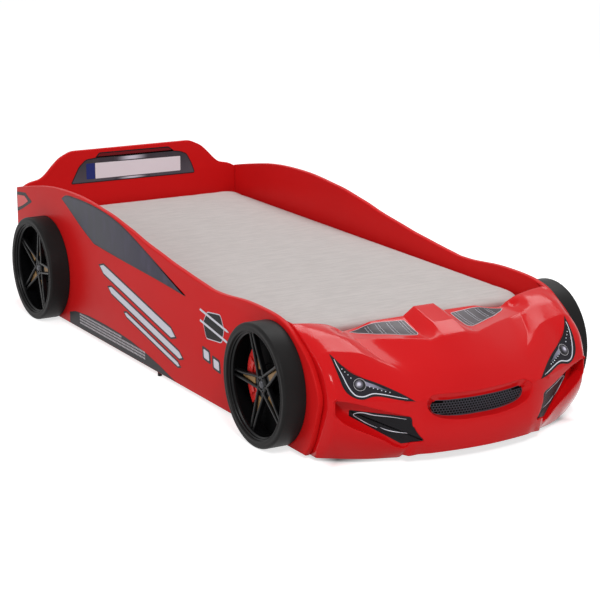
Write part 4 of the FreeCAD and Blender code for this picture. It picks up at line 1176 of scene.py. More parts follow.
@dataclass
class NoseShell:
    """The moulded nose, its mouth with the grille, lamps, vents and side intakes.

    An outline on its front holds (from the middle, height), and one on its bonnet (from the middle, ahead of
    the rear edge).
    """
    wall: float = 4.0
    rear_drop: float = 16.0         # how far the rear edge is turned down
    side_return: float = 40.0       # how far the side edge runs back
    ridge: float = 1.3              # radius of the hump's and the lip's edges
    divide: float = 196.0           # from the middle, between the mouth and the intakes
    mouth: tuple[Point, ...] = ((0, 197), (60, 198.5), (110, 200.5), (150, 202), (173, 199), (185, 189),
                                (187, 174), (181, 160), (166, 147), (140, 136), (100, 127.5), (50, 123),
                                (0, 122))
    mouth_roll: float = 3.6         # radius of the mouth's rounded rim
    throat_run: float = 16.0        # how far the wall runs on past the grille
    shelf_half: float = 446.0       # half the width of the shelf behind the rear edge
    shelf_depth: float = 60.0       # how far it reaches back
    shelf_height: float = 276.0     # its height at the back
    opening: tuple[Point, ...] = ((0, 177), (90, 178.7), (138, 182), (156, 181.5), (165, 173), (165, 161),
                                  (158, 149), (140, 139.5), (100, 131.5), (55, 127.5), (0, 127))
    grille_bow: Point = (169.0, 13.0)       # from the middle, and how far the grille lies back there
    row_rise: float = 7.6           # from row to row of the grille
    pitch: float = 9.6              # from upright to upright
    bar: float = 1.15               # radius of a row's bar
    reach: float = 168.0            # half the length of a row
    row_lift: float = 6.0           # how far a row's ends rise
    intake: tuple[Point, ...] = ((239, 152), (449, 213), (449, 160), (255, 49), (200, 74))
    intake_ahead: float = 301.0     # how far ahead its back wall starts, at its first corner
    intake_slant: float = 0.63      # how fast that wall runs back to the side
    intake_lean: float = 0.13       # how fast it runs back downwards
    intake_roll: Point = (0.4, 2.6)         # least and greatest radius of its rim
    lamp_upper: tuple[Point, ...] = ((424, 328), (408, 307), (388, 284), (369, 270), (340, 257), (310, 244),
                                     (286, 232), (259, 217), (225, 195))
    lamp_lower: tuple[Point, ...] = ((225, 195), (265, 201), (305, 210), (330, 214), (350, 211.5), (366, 208),
                                     (385, 211), (404, 222), (416, 238), (421.5, 262), (424, 290), (424, 328))
    lamp_inner: tuple[Point, ...] = ((246, 203), (280, 209), (304, 215), (329, 219), (350, 216), (366, 213),
                                     (384, 216), (400, 226), (411, 241), (416, 262), (418, 286))
    lamp_silver: tuple[Point, ...] = ((418, 314), (417, 299), (414, 284), (409, 263), (403, 243), (395, 228),
                                      (386, 219), (375, 215.5), (364, 215), (352, 217.5), (339, 220.5),
                                      (322, 219.5), (304, 216), (279, 210), (245, 202))
    lamp_spots: tuple[Point, ...] = ((406, 289), (400, 281), (393, 273), (387, 264), (340, 238), (331, 234),
                                     (320, 231), (310, 227), (300, 224), (289, 221))
    lamp_beam: tuple[Point, ...] = ((350, 254), (333, 246), (310, 235), (289, 225.5), (312, 230), (334, 237),
                                    (348, 241))
    lens_place: Point = (366, 245)
    dish_radius: float = 18.5
    lens_radius: float = 15.0
    vent: tuple[Point, ...] = ((84, 21), (162, 11), (225, 9), (281, 22), (262, 42), (212, 73), (150, 98),
                               (99, 118), (88, 106))
    louvres: tuple[float, ...] = (96.0, 138.0, 177.0, 213.0)
    louvre_gap: float = 10.0        # between the two lines of a louvre
    fog: tuple[Point, ...] = ((240, 150), (392, 170), (391, 151), (258, 66), (203, 76))

    def __post_init__(self) -> None:
        """Read the nose's place from the frame."""
        high = box_of("nose_shell")[1]
        self.skin = NoseSkin(high.y)
        self.face = NoseFace(self.skin)
        self.width_scale = high.x / self.skin.width
        self.grille_front = box_of("grille_panel")[0].y
        self.rim_line = np.array(spline_through(self.mouth, 400))
        self.opening_line = np.array(spline_through(self.opening, 400))

    def intake_back(self, x: float, z: float) -> float:
        """Y of the slanting back wall of the left intake."""
        corner = self.intake[0]
        return (self.skin.back - self.intake_ahead + self.intake_slant * (x - corner[0])
                + self.intake_lean * (corner[1] - z))

    def grille_y(self, x: float) -> float:
        """Y of the bowed grille's face."""
        half, bow = self.grille_bow
        return self.grille_front + bow * (x / half) ** 2

    def throat(self, x: float, z: float) -> Vector:
        """Where the mouth narrows to the grille, from a place on its rim."""
        nearest = int(np.argmin(np.hypot(self.rim_line[:, 0] - x, self.rim_line[:, 1] - z)))
        across, height = self.opening_line[nearest]
        return Vector((across, self.grille_y(across) - 1.0, height))

    def turn_in(self, bm: bmesh.types.BMesh, edges: list, radius: Callable[[Vector], float], down: Vector,
                end: Callable[[Vector], Vector] | None, steps: int = 3) -> list:
        """Turn an open border in over a rounded edge, and on to an end.

        Args:
            bm: The mesh.
            edges: The border's edges.
            radius: Radius of the rounding at a place.
            down: Direction that the wall runs in.
            end: Where a rounded place runs on to, or None to stop there.
            steps: Facets over the rounding.

        Returns:
            The edges of the new border.
        """
        facts = {}
        for edge in edges:
            middle = (edge.verts[0].co + edge.verts[1].co) / 2
            along = (edge.verts[1].co - edge.verts[0].co).normalized()
            away = middle - edge.link_faces[0].calc_center_median()
            away -= along * away.dot(along)
            for vert in edge.verts:
                if key(vert.co) not in facts:
                    facts[key(vert.co)] = [vert.co.copy(), Vector()]
                facts[key(vert.co)][1] += away.normalized()
        for place, inward in facts.values():
            if abs(place.x) < 0.01:
                inward.x = 0.0
            inward.normalize()
        source = {k: k for k in facts}
        for step in range(1, steps + 2):
            if step > steps and end is None:
                break
            made = bmesh.ops.extrude_edge_only(bm, edges=edges)["geom"]
            edges = [g for g in made if isinstance(g, bmesh.types.BMEdge)]
            moved = {}
            for vert in [g for g in made if isinstance(g, bmesh.types.BMVert)]:
                origin = source[key(vert.co)]
                place, inward = facts[origin]
                r = radius(place)
                angle = math.pi / 2 * min(step, steps) / steps
                target = place + inward * (r * math.sin(angle)) + down * (r * (1 - math.cos(angle)))
                vert.co = end(target) if step > steps else target
                moved[key(vert.co)] = origin
            source = moved
        return edges

    def half(self) -> bmesh.types.BMesh:
        """The left half of the moulding, without its mouth's and intakes' depth."""
        line = spline_through(self.mouth, 52)
        rim = [(max(x, 0.0), z) for x, z in shrink(line + [(-x, z) for x, z in line[-2:0:-1]],
                                                   -self.mouth_roll)[:len(line)]]
        mouth = self.face.front([(0.0, rim[0][1])] + rim[1:-1] + [(0.0, rim[-1][1])])
        width = self.skin.width
        outer = [(0.0, 0.0), (width, 0.0), (width, 8.0), (0.0, 8.0)] + mouth[::-1]
        intake = self.face.front(rounded(self.intake, 9, 5))
        fold, hump = self.skin.fold_column, self.skin.hump_columns
        brow = [fold + 3 + 4.5 * i for i in range(1, 14)]
        bm = self.face.flat([outer, intake], [*map(float, range(1, 8)), 2.94, 3.06],
                            [*hump, *self.skin.flap_columns, fold - 3, fold, fold + 3, *brow,
                             self.skin.edge_column])
        self.ridges = []
        for edge in bm.edges:
            (c0, r0), (c1, r1) = [(v.co.x, v.co.y / self.face.spread) for v in edge.verts]
            on_column = abs(c0 - c1) < 0.1 and any(abs(c0 - h) < 0.1 for h in hump)
            on_ring = abs(r0 - r1) < 0.002
            on_lip = (on_ring and abs(r0 - 2) < 0.01
                      and hump[1] - 0.1 < min(c0, c1) and max(c0, c1) < fold + 3.5)
            on_top = on_ring and abs(r0 - 1) < 0.01 and max(c0, c1) < hump[0] + 0.1
            if (on_column and max(r0, r1) < 2.01) or on_lip or on_top:
                self.ridges.append(edge)
        self.face.wrap(bm)
        bmesh.ops.recalc_face_normals(bm, faces=bm.faces)
        return bm

    def border(self, bm: bmesh.types.BMesh, test: Callable[[Vector], bool]) -> list:
        """Open edges whose two ends both pass a test."""
        return [e for e in bm.edges if e.is_boundary and all(test(v.co) for v in e.verts)]

    def shell(self) -> None:
        """The moulding with rounded lips, mouth, pockets and wall thickness."""
        bm = self.half()
        skin, back = self.skin, self.skin.back
        heights = [z for _, z in self.intake]
        low, high = min(heights) - 4, max(heights) + 4
        rear = self.border(bm, lambda p: abs(p.y - back) < 0.05)
        side = [e for e in self.border(bm, lambda p: p.x > skin.width - 0.05) if e not in rear]
        foot = [e for e in self.border(bm, lambda p: p.z < 34) if e not in side and e not in rear]
        inside = [e for e in self.border(bm, lambda p: self.divide < p.x < skin.width - 5
                                         and low < p.z < high)
                  if e not in foot and e not in side]
        mouth = [e for e in self.border(bm, lambda p: p.x < self.divide and 110 < p.z < 212
                                        and p.y < back - 250)
                 if e not in foot and e not in inside and not all(abs(v.co.x) < 0.01 for v in e.verts)]
        plus_y, minus_z = Vector((0, 1, 0)), Vector((0, 0, -1))
        least, most = self.intake_roll
        cap = self.turn_in(bm, inside,
                           lambda p: min(most, max(least, (self.intake_back(p.x, p.z) - p.y) * 0.4)),
                           plus_y, lambda p: Vector((p.x, self.intake_back(p.x, p.z), p.z)))
        bmesh.ops.triangle_fill(bm, use_beauty=True, edges=cap)
        throat = self.turn_in(bm, mouth, lambda p: self.mouth_roll, plus_y,
                              lambda p: self.throat(p.x, p.z), 4)
        self.turn_in(bm, throat, lambda p: 0.2, plus_y, lambda p: p + Vector((0, self.throat_run, 0)), 1)
        step = self.turn_in(bm, rear, lambda p: 2.5, minus_z, lambda p: p - Vector((0, 0, self.rear_drop)))
        shelf = [e for e in step if all(v.co.x < self.shelf_half for v in e.verts)]
        self.turn_in(bm, shelf, lambda p: 0.2, plus_y,
                     lambda p: Vector((p.x, back + self.shelf_depth, min(p.z, self.shelf_height))), 1)
        self.turn_in(bm, side, lambda p: 3.0, plus_y, lambda p: p + Vector((0, self.side_return, 0)))
        self.turn_in(bm, foot, lambda p: 2.0, plus_y, None)
        ridges = [e for e in self.ridges if e.is_valid]
        bmesh.ops.bevel(bm, geom=ridges, offset=self.ridge, segments=3, profile=0.5, affect="EDGES",
                        material=-1, clamp_overlap=True, loop_slide=True)
        for vert in bm.verts:
            if abs(vert.co.x) < 0.02:
                vert.co.x = 0.0
            vert.co.x *= self.width_scale
        half = bm.verts[:] + bm.edges[:] + bm.faces[:]
        bmesh.ops.mirror(bm, geom=half, axis="X", merge_dist=0.01)
        bmesh.ops.remove_doubles(bm, verts=bm.verts, dist=0.01)
        orient(bm)
        piece = add_piece(bm, "nose_moulding", RED_MOULDING, ["nose_shell"], crease=38.0)
        wall = piece.modifiers.new("wall", "SOLIDIFY")
        wall.thickness = self.wall * MM
        wall.offset = -1.0

    def line(self, points: Sequence[Point], lift: float,
             radius: float | Sequence[float]) -> bmesh.types.BMesh:
        """A thin bar along the skin through places given as (from the middle, height)."""
        path = [self.skin.lifted(c, r, lift) for c, r in self.face.front(points)]
        return tube(path, radius, 6)

    def lamp(self, side: Side) -> None:
        """A headlamp: dark glass, graphite inside, a silver line, lights, a lens and its ring."""
        face, skin = self.face, self.skin
        outline = spline_through(self.lamp_upper, 30)[:-1] + spline_through(self.lamp_lower, 44)[:-1]
        add_sided(face.inlay(face.front(outline), 1.1, 1.6), side, "lamp_rim", PRINT_BLACK,
                  ["headlamp_" + side.word])
        inner = spline_through([(x - 1 if x > 400 else x, z - 5) for x, z in self.lamp_upper[1:-1]], 24)
        body = face.front(inner + spline_through(self.lamp_inner, 30)[::-1])
        add_sided(face.inlay(body, 1.8, 1.2), side, "lamp_body", LAMP_BODY)
        silver = spline_through(self.lamp_silver, 48)
        radii = [0.6 + 1.4 * math.sqrt(1 - abs(i / 23.5 - 1)) for i in range(48)]
        add_sided(self.line(silver, 2.2, radii), side, "lamp_line", LED_WHITE)
        lights = bmesh.new()
        for column, ring in face.front(self.lamp_spots):
            place = Matrix.Translation(skin.lifted(column, ring, 2.4))
            bmesh.ops.create_icosphere(lights, subdivisions=2, radius=1.8, matrix=place)
        add_sided(lights, side, "lamp_lights", LED_WHITE)
        self.lens(side)
        add_sided(face.inlay(face.front(self.lamp_beam), 2.1, 0.9), side, "lamp_beam", BEAM_FILM)

    def lens(self, side: Side) -> None:
        """The lamp's round lens in its dark dish, with a pale hoop round it."""
        column, ring = self.face.front([self.lens_place])[0]
        out = self.skin.normal(column, ring)
        turn = out.to_track_quat("Z", "Y").to_matrix().to_4x4()
        place = self.skin.lifted(column, ring, 2.0)
        centre = Matrix.Translation(place) @ turn
        print_of_lens = Lens("lamp_lens", rgb(214, 210, 228), tuple(place + out * 3 + Vector((3, 0, 2))))
        for part, radius, sink, finish in (("dish", self.dish_radius, 0.08, PRINT_BLACK),
                                           ("lens", self.lens_radius, 0.3, print_of_lens)):
            ball = bmesh.new()
            bmesh.ops.create_uvsphere(ball, u_segments=40, v_segments=20, radius=radius,
                                      matrix=centre @ Matrix.Diagonal((1, 1, sink, 1)))
            add_sided(ball, side, "lamp_" + part, finish)
        angles = [2 * math.pi * i / 40 for i in range(40)]
        radius = self.dish_radius
        hoop = [centre @ Vector((radius * math.cos(a), radius * math.sin(a), 0.6)) for a in angles]
        add_sided(tube(hoop, 0.7, 6, True), side, "lamp_hoop", PRINT_PALE)

    def bonnet_vent(self, side: Side) -> None:
        """A bonnet vent: pale frame, grey film and slanting louvres."""
        face = self.face
        outline = rounded(self.vent, 6, 4)
        add_sided(face.inlay(face.bonnet(outline), 0.9, 1.4), side, "vent_frame", PRINT_PALE,
                  ["bonnet_vent_" + side.word])
        add_sided(face.inlay(face.bonnet(shrink(outline, 2.0)), 1.3, 0.8), side, "vent_film", VENT_FILM)
        fins = bmesh.new()
        front_x, front_ahead = zip(*self.vent[7:3:-1])
        for place in self.louvres:
            for x in (place, place + self.louvre_gap):
                end = float(np.interp(x + 6, front_x, front_ahead)) - 6
                steps = [(x + 7 * t, 19 + (end - 19) * t) for t in (0, 0.2, 0.4, 0.6, 0.8, 1)]
                path = [self.skin.lifted(c, r, 1.4) for c, r in face.bonnet(steps)]
                join(fins, tube(path, 0.45, 6))
        add_sided(fins, side, "vent_louvres", SILVER)

    def on_back(self, points: Sequence[Point], lift: float) -> list[Vector]:
        """Places on the back wall of the left intake, from (from the middle, height), at a height over it."""
        return [Vector((x, self.intake_back(x, z) - lift, z)) for x, z in points]

    def fog_panel(self, side: Side) -> None:
        """A mesh panel on the back wall of an intake, with two silver lines that meet at its outer end."""
        outline = rounded(self.fog, 2.5, 3)
        bm = bmesh.new()
        rounded_plate(bm, self.on_back(outline, 0.2), Vector((0, -1.2, 0)), 0.5, 2)
        add_sided(bm, side, "fog_rim", PRINT_BLACK, ["fog_panel_" + side.word])
        bm = bmesh.new()
        rounded_plate(bm, self.on_back(shrink(outline, 5.0), 1.2), Vector((0, -0.6, 0)), 0.0)
        add_sided(bm, side, "fog_mesh", FOG_MESH)
        lines = bmesh.new()
        for points, count, width in (
                (((372, 147), (381, 156), (372, 161), (340, 157), (300, 151), (250, 143)), 34, 1.7),
                (((372, 147), (357, 136), (338, 124), (320, 115)), 20, 1.3),
                (((312, 116), (300, 110), (275, 103), (245, 99)), 16, 1.3)):
            path = self.on_back(spline_through(points, count), 1.7)
            radii = [width * min(1.0, 0.45 + 2.4 * i / count, 1.5 - 1.2 * i / count) for i in range(count)]
            join(lines, tube(path, radii, 6))
        add_sided(lines, side, "fog_lines", SILVER)

    def grille(self) -> None:
        """Bowed mesh of staggered slots in front of a dark backing."""
        middle = 152.0
        half = [(x * 1.012, middle + (z - middle) * 1.05) for x, z in spline_through(self.opening, 34)]
        outline = half + [(-x, z) for x, z in reversed(half[1:-1])]
        widths, heights = np.array(half).T
        widest = int(np.argmax(widths))
        top, foot = heights.max(), heights.min()

        def span(z: float) -> float:
            """Half the width of the opening at a height."""
            run = slice(widest, None, -1) if z > heights[widest] else slice(None, widest - 1, -1)
            return float(np.interp(z, heights[run], widths[run]))

        def dip(x: float) -> float:
            """How far a row rises towards its ends, as the opening does."""
            return self.row_lift * (x / self.reach) ** 2

        bars = bmesh.new()
        upright = Matrix.Diagonal((2.0, 2.6, self.row_rise, 1))
        columns = int(self.reach / self.pitch)
        xs = np.linspace(-self.reach, self.reach, 43)
        for row in range(-2, int((top - foot) / self.row_rise) + 2):
            z = foot + self.row_rise * (row + 0.5)
            inside = [x for x in xs if foot < z + dip(x) < top and abs(x) < span(z + dip(x))]
            for group in split_runs(inside, xs[1] - xs[0]):
                if len(group) > 1:
                    path = [Vector((x, self.grille_y(x) + 1.5, z + dip(x))) for x in group]
                    join(bars, tube(path, self.bar, 6))
            for column in range(-columns, columns + 1):
                x = (column + 0.5 * (row % 2)) * self.pitch
                z0, z1 = z + dip(x), z + self.row_rise + dip(x)
                if foot < z0 and z1 < top and abs(x) < min(span(z0), span(z1)):
                    place = Matrix.Translation((x, self.grille_y(x) + 1.5, (z0 + z1) / 2))
                    bmesh.ops.create_cube(bars, size=1.0, matrix=place @ upright)
        join(bars, tube([Vector((x, self.grille_y(x) + 1.0, z)) for x, z in outline], 2.6, 8, True))
        add_piece(bars, "grille_bars", GRILLE_GREY, ["grille_panel"])
        backing = bmesh.new()
        rounded_plate(backing, [Vector((x, self.grille_y(x) + 8.0, z)) for x, z in outline],
                      Vector((0, 2, 0)), 0.0)
        add_piece(backing, "grille_backing", DARK_DISC)

    def build(self) -> None:
        """Make the moulding and everything on it."""
        self.shell()
        self.grille()
        for side in Side:
            self.lamp(side)
            self.bonnet_vent(side)
            self.fog_panel(side)


def split_runs(values: Sequence[float], step: float) -> list[list[float]]:
    """Groups of values that follow each other at one step."""
    runs: list[list[float]] = []
    for value in values:
        if runs and value - runs[-1][-1] < step * 1.5:
            runs[-1].append(value)
        else:
            runs.append([value])
    return runs


# ---- wheels -------------------------------------------------------------------------------------
@dataclass
class Wheel:
    """One ornamental wheel, in six kinds of piece. Local X points out of the panel."""
    end: str
    side: Side
    turn: float                     # direction of the first spoke, in degrees from the front upwards
    caliper_turn: float             # direction of the caliper
    tyre_ring: float = 26.0         # from the tyre's inner lip to its tread
    spokes: int = 5
    face: float = 54.0              # front of the spokes at the rim
    dish: float = 8.0               # how much deeper they lie at the hub
    root_spread: float = 38.0       # how far apart a spoke's two ribs stand at the hub, about
    tip_spread: float = 15.0        # how far apart their middles stand at the rim
    rib_width: float = 8.5
    floor_drop: float = 7.5         # from the ribs' face at the hub to the floor between them
    hub: float = 27.0               # radius of the hub
    bolt_ring: float = 21.5         # radius of its ring of bolts

    def __post_init__(self) -> None:
        """Read the wheel's place from the frame."""
        self.name = self.end + "_" + self.side.word
        low, high = box_of(self.name + "_tyre")
        self.radius = (high.z - low.z) / 2
        self.depth = high.x - low.x
        self.panel = min(abs(low.x), abs(high.x))
        self.axle = Vector((0, (low.y + high.y) / 2, low.z + self.radius))
        self.bore = self.radius - self.tyre_ring
        self.root = self.face - self.dish
        self.floor = self.root - self.floor_drop
        self.step = 360 / self.spokes

    def revolve(self, profile: Sequence[Point], steps: int = 96) -> bmesh.types.BMesh:
        """Spin a closed profile of (x, radius) about the axle."""
        bm = bmesh.new()
        edges = loop_edges(bm, [Vector((x, 0, r)) for x, r in profile])
        verts = list({v for e in edges for v in e.verts})
        bmesh.ops.spin(bm, geom=verts + edges, cent=(0, 0, 0), axis=(1, 0, 0), angle=2 * math.pi, steps=steps,
                       use_merge=True)
        bmesh.ops.remove_doubles(bm, verts=bm.verts, dist=0.01)
        bmesh.ops.recalc_face_normals(bm, faces=bm.faces)
        return bm

    def put(self, bm: bmesh.types.BMesh, part: str, finish: Finish, replaces: bool = True) -> None:
        """Carry a piece to the wheel's place."""
        bmesh.ops.translate(bm, vec=(self.panel, self.axle.y, self.axle.z), verts=bm.verts)
        if self.side is Side.RIGHT:
            mirrored(bm)
        nodes = [self.name + "_" + part] if replaces else []
        add_piece(bm, self.name + "_" + part + "_shape", finish, nodes)

    def turned(self, bm: bmesh.types.BMesh, degrees: float) -> bmesh.types.BMesh:
        """Turn a piece that points up so that it points in a direction from the front upwards."""
        bmesh.ops.rotate(bm, cent=(0, 0, 0), matrix=Matrix.Rotation(math.radians(90 - degrees), 3, "X"),
                         verts=bm.verts)
        return bm

    def arc(self, x: float, r: float, radius: float, start: float, end: float, steps: int = 5) -> list[Point]:
        """Points round a corner, angles in degrees from +X towards larger radius."""
        turns = [math.radians(start + (end - start) * i / steps) for i in range(steps + 1)]
        return [(x + radius * math.cos(a), r + radius * math.sin(a)) for a in turns]

    def tyre(self) -> None:
        """Smooth tyre: soft shoulder, slightly dished wall ring, rounded inner lip."""
        depth, tread, bore = self.depth, self.radius, self.bore
        profile = [(0, bore), (0, tread - 3), (3, tread)]
        profile += self.arc(depth - 9, tread - 9, 9, 90, 20)
        profile += [(depth - 0.8, tread - 13), (depth - 1.6, bore + 9)]
        profile += self.arc(depth - 4, bore + 4, 4, 20, -80)
        profile += [(depth - 9, bore)]
        self.put(self.revolve(profile, 128), "tyre", TYRE_BLACK)

    def spoke(self) -> bmesh.types.BMesh:
        """One twin-ribbed spoke, pointing up."""
        bm = bmesh.new()
        root, tip = self.root, self.face
        outer = self.bore - 3
        for side in (-1, 1):
            rows = ((14.0, self.root_spread * 0.47, root - 1.0), (55.0, self.root_spread * 0.40, root + 1.5),
                    (105.0, self.root_spread * 0.27, root + 5), (outer, self.tip_spread / 2, tip))
            rings = []
            for radius, middle, x in rows:
                y, w = side * middle, self.rib_width / 2
                section = ((x - 15, y - w - 1), (x - 2.2, y - w), (x, y - w + 2.2), (x, y + w - 2.2),
                           (x - 2.2, y + w), (x - 15, y + w + 1))
                rings.append(loop_edges(bm, [Vector((px, py, radius)) for px, py in section]))
            for low, high in zip(rings, rings[1:]):
                bmesh.ops.bridge_loops(bm, edges=low + high)
            for cap in (rings[0], rings[-1]):
                bmesh.ops.contextual_create(bm, geom=cap)
        wide, narrow = self.root_spread * 0.47, self.tip_spread / 2
        plate = [(-wide, 14.0), (-narrow, outer), (narrow, outer), (wide, 14.0)]
        rounded_plate(bm, [Vector((self.floor - 4, y, r)) for y, r in plate], Vector((4, 0, 0)), 0.0)
        bmesh.ops.recalc_face_normals(bm, faces=bm.faces)
        return bm

    def bolts(self, place: Point, angles: Iterable[float], corners: int, size: Triple) -> bmesh.types.BMesh:
        """Bolt heads in a ring round the axle.

        Args:
            place: How far out they stand, and the ring's radius.
            angles: Their directions, in degrees from the front upwards.
            corners: Corners of a head.
            size: A head's radius at its foot and at its top, and its depth.

        Returns:
            The heads.
        """
        bm = bmesh.new()
        foot, top, depth = size
        matrix = Matrix.Translation((place[0], 0, place[1])) @ Matrix.Rotation(math.pi / 2, 4, "Y")
        for angle in angles:
            bolt = bmesh.new()
            bmesh.ops.create_cone(bolt, cap_ends=True, segments=corners, radius1=foot, radius2=top,
                                  depth=depth, matrix=matrix)
            join(bm, self.turned(bolt, angle))
        return bm

    def rim(self) -> None:
        """Barrel with an inner step, twin-ribbed spokes and the hub with its bolts."""
        depth, bore, face, root, hub = self.depth, self.bore, self.face, self.root, self.hub
        turns = [self.turn + self.step * number for number in range(self.spokes)]
        rim = self.revolve([(8, bore - 0.3), (depth - 7, bore - 0.3), (depth - 8, bore - 1.5),
                            (depth - 9.5, bore - 3), (face + 8, bore - 3.5), (face + 6, bore - 5.5),
                            (face + 4, bore - 8), (face - 2, bore - 8.5), (face - 6, bore - 6),
                            (8, bore - 6)])
        for turn in turns:
            join(rim, self.turned(self.spoke(), turn))
        join(rim, self.revolve([(root - 22, 0.01), (root - 22, hub - 5), (root - 4, hub), (root - 1, hub - 2),
                                (root, hub - 5), (root + 0.5, 17), (root - 2.5, 15.5), (root - 2.5, 0.01)],
                               48))
        between = [turn + self.step / 2 for turn in turns]
        join(rim, self.bolts((root + 0.5, self.bolt_ring), between, 6, (2.6, 2.2, 3)))
        self.put(rim, "rim", BLACK_RIM)

    def wedges(self) -> None:
        """Bronze wedges laid on the floor of the spokes."""
        bm = bmesh.new()
        outline = rounded([(-10.5, 46), (-3.2, 122), (3.2, 122), (10.5, 46)], 2.5)
        for number in range(self.spokes):
            wedge = bmesh.new()
            rounded_plate(wedge, [Vector((self.floor, y, r)) for y, r in outline],
                          Vector((2.2, 0, 0)), 0.7, 2)
            join(bm, self.turned(wedge, self.turn + self.step * number))
        self.put(bm, "rim_inlays", BRONZE)

    def cap(self) -> None:
        """Bright little dome in the hub."""
        root = self.root
        arch = [math.radians(d) for d in (8, 24, 42, 60, 76)]
        dome = [(root - 2.5, 0.01), (root - 2.5, 13.0), (root - 0.5, 13.0),
                *[(root - 0.5 + 5.0 * math.sin(a), 12.4 * math.cos(a)) for a in arch], (root + 4.5, 0.01)]
        self.put(self.revolve(dome, 40), "hub_cap", CHROME)

    def disc(self) -> None:
        """Dark backing disc with a raised brake disc in front of it."""
        rim = self.bore - 0.4
        bm = self.revolve([(0, 0.01), (0, rim), (8, rim), (8, 118), (11, 116), (11, 60), (8, 58), (8, 40),
                           (16, 38), (16, 0.01)], 72)
        self.put(bm, "wheel_backing", DARK_DISC)

    def caliper(self) -> None:
        """Curved red caliper with a raised bridge and bolts."""
        bm = bmesh.new()
        for x0, x1, inner, outer, sweep in ((11.5, 24, 76, 128, 84), (24, 29, 88, 118, 62)):
            angles = [math.radians(90 - sweep / 2 + sweep * i / 24) for i in range(25)]
            outline = [(outer * math.cos(a), outer * math.sin(a)) for a in angles]
            outline += [(inner * math.cos(a), inner * math.sin(a)) for a in reversed(angles)]
            rounded_plate(bm, [Vector((x0, y, z)) for y, z in outline], Vector((x1 - x0, 0, 0)), 2.2, 3)
        bmesh.ops.recalc_face_normals(bm, faces=bm.faces)
        self.put(self.turned(bm, self.caliper_turn), "caliper", RED_CALIPER)
        angles = [self.caliper_turn + angle for angle in (-30, -14, 14, 30)]
        bolts = self.bolts((29.5, 103), angles, 12, (4.2, 3.6, 4))
        self.put(bolts, "caliper_bolts", RED_CALIPER, replaces=False)

    def build(self) -> None:
        """Make the wheel's pieces."""
        self.tyre()
        self.rim()
        self.wedges()
        self.cap()
        self.disc()
        self.caliper()


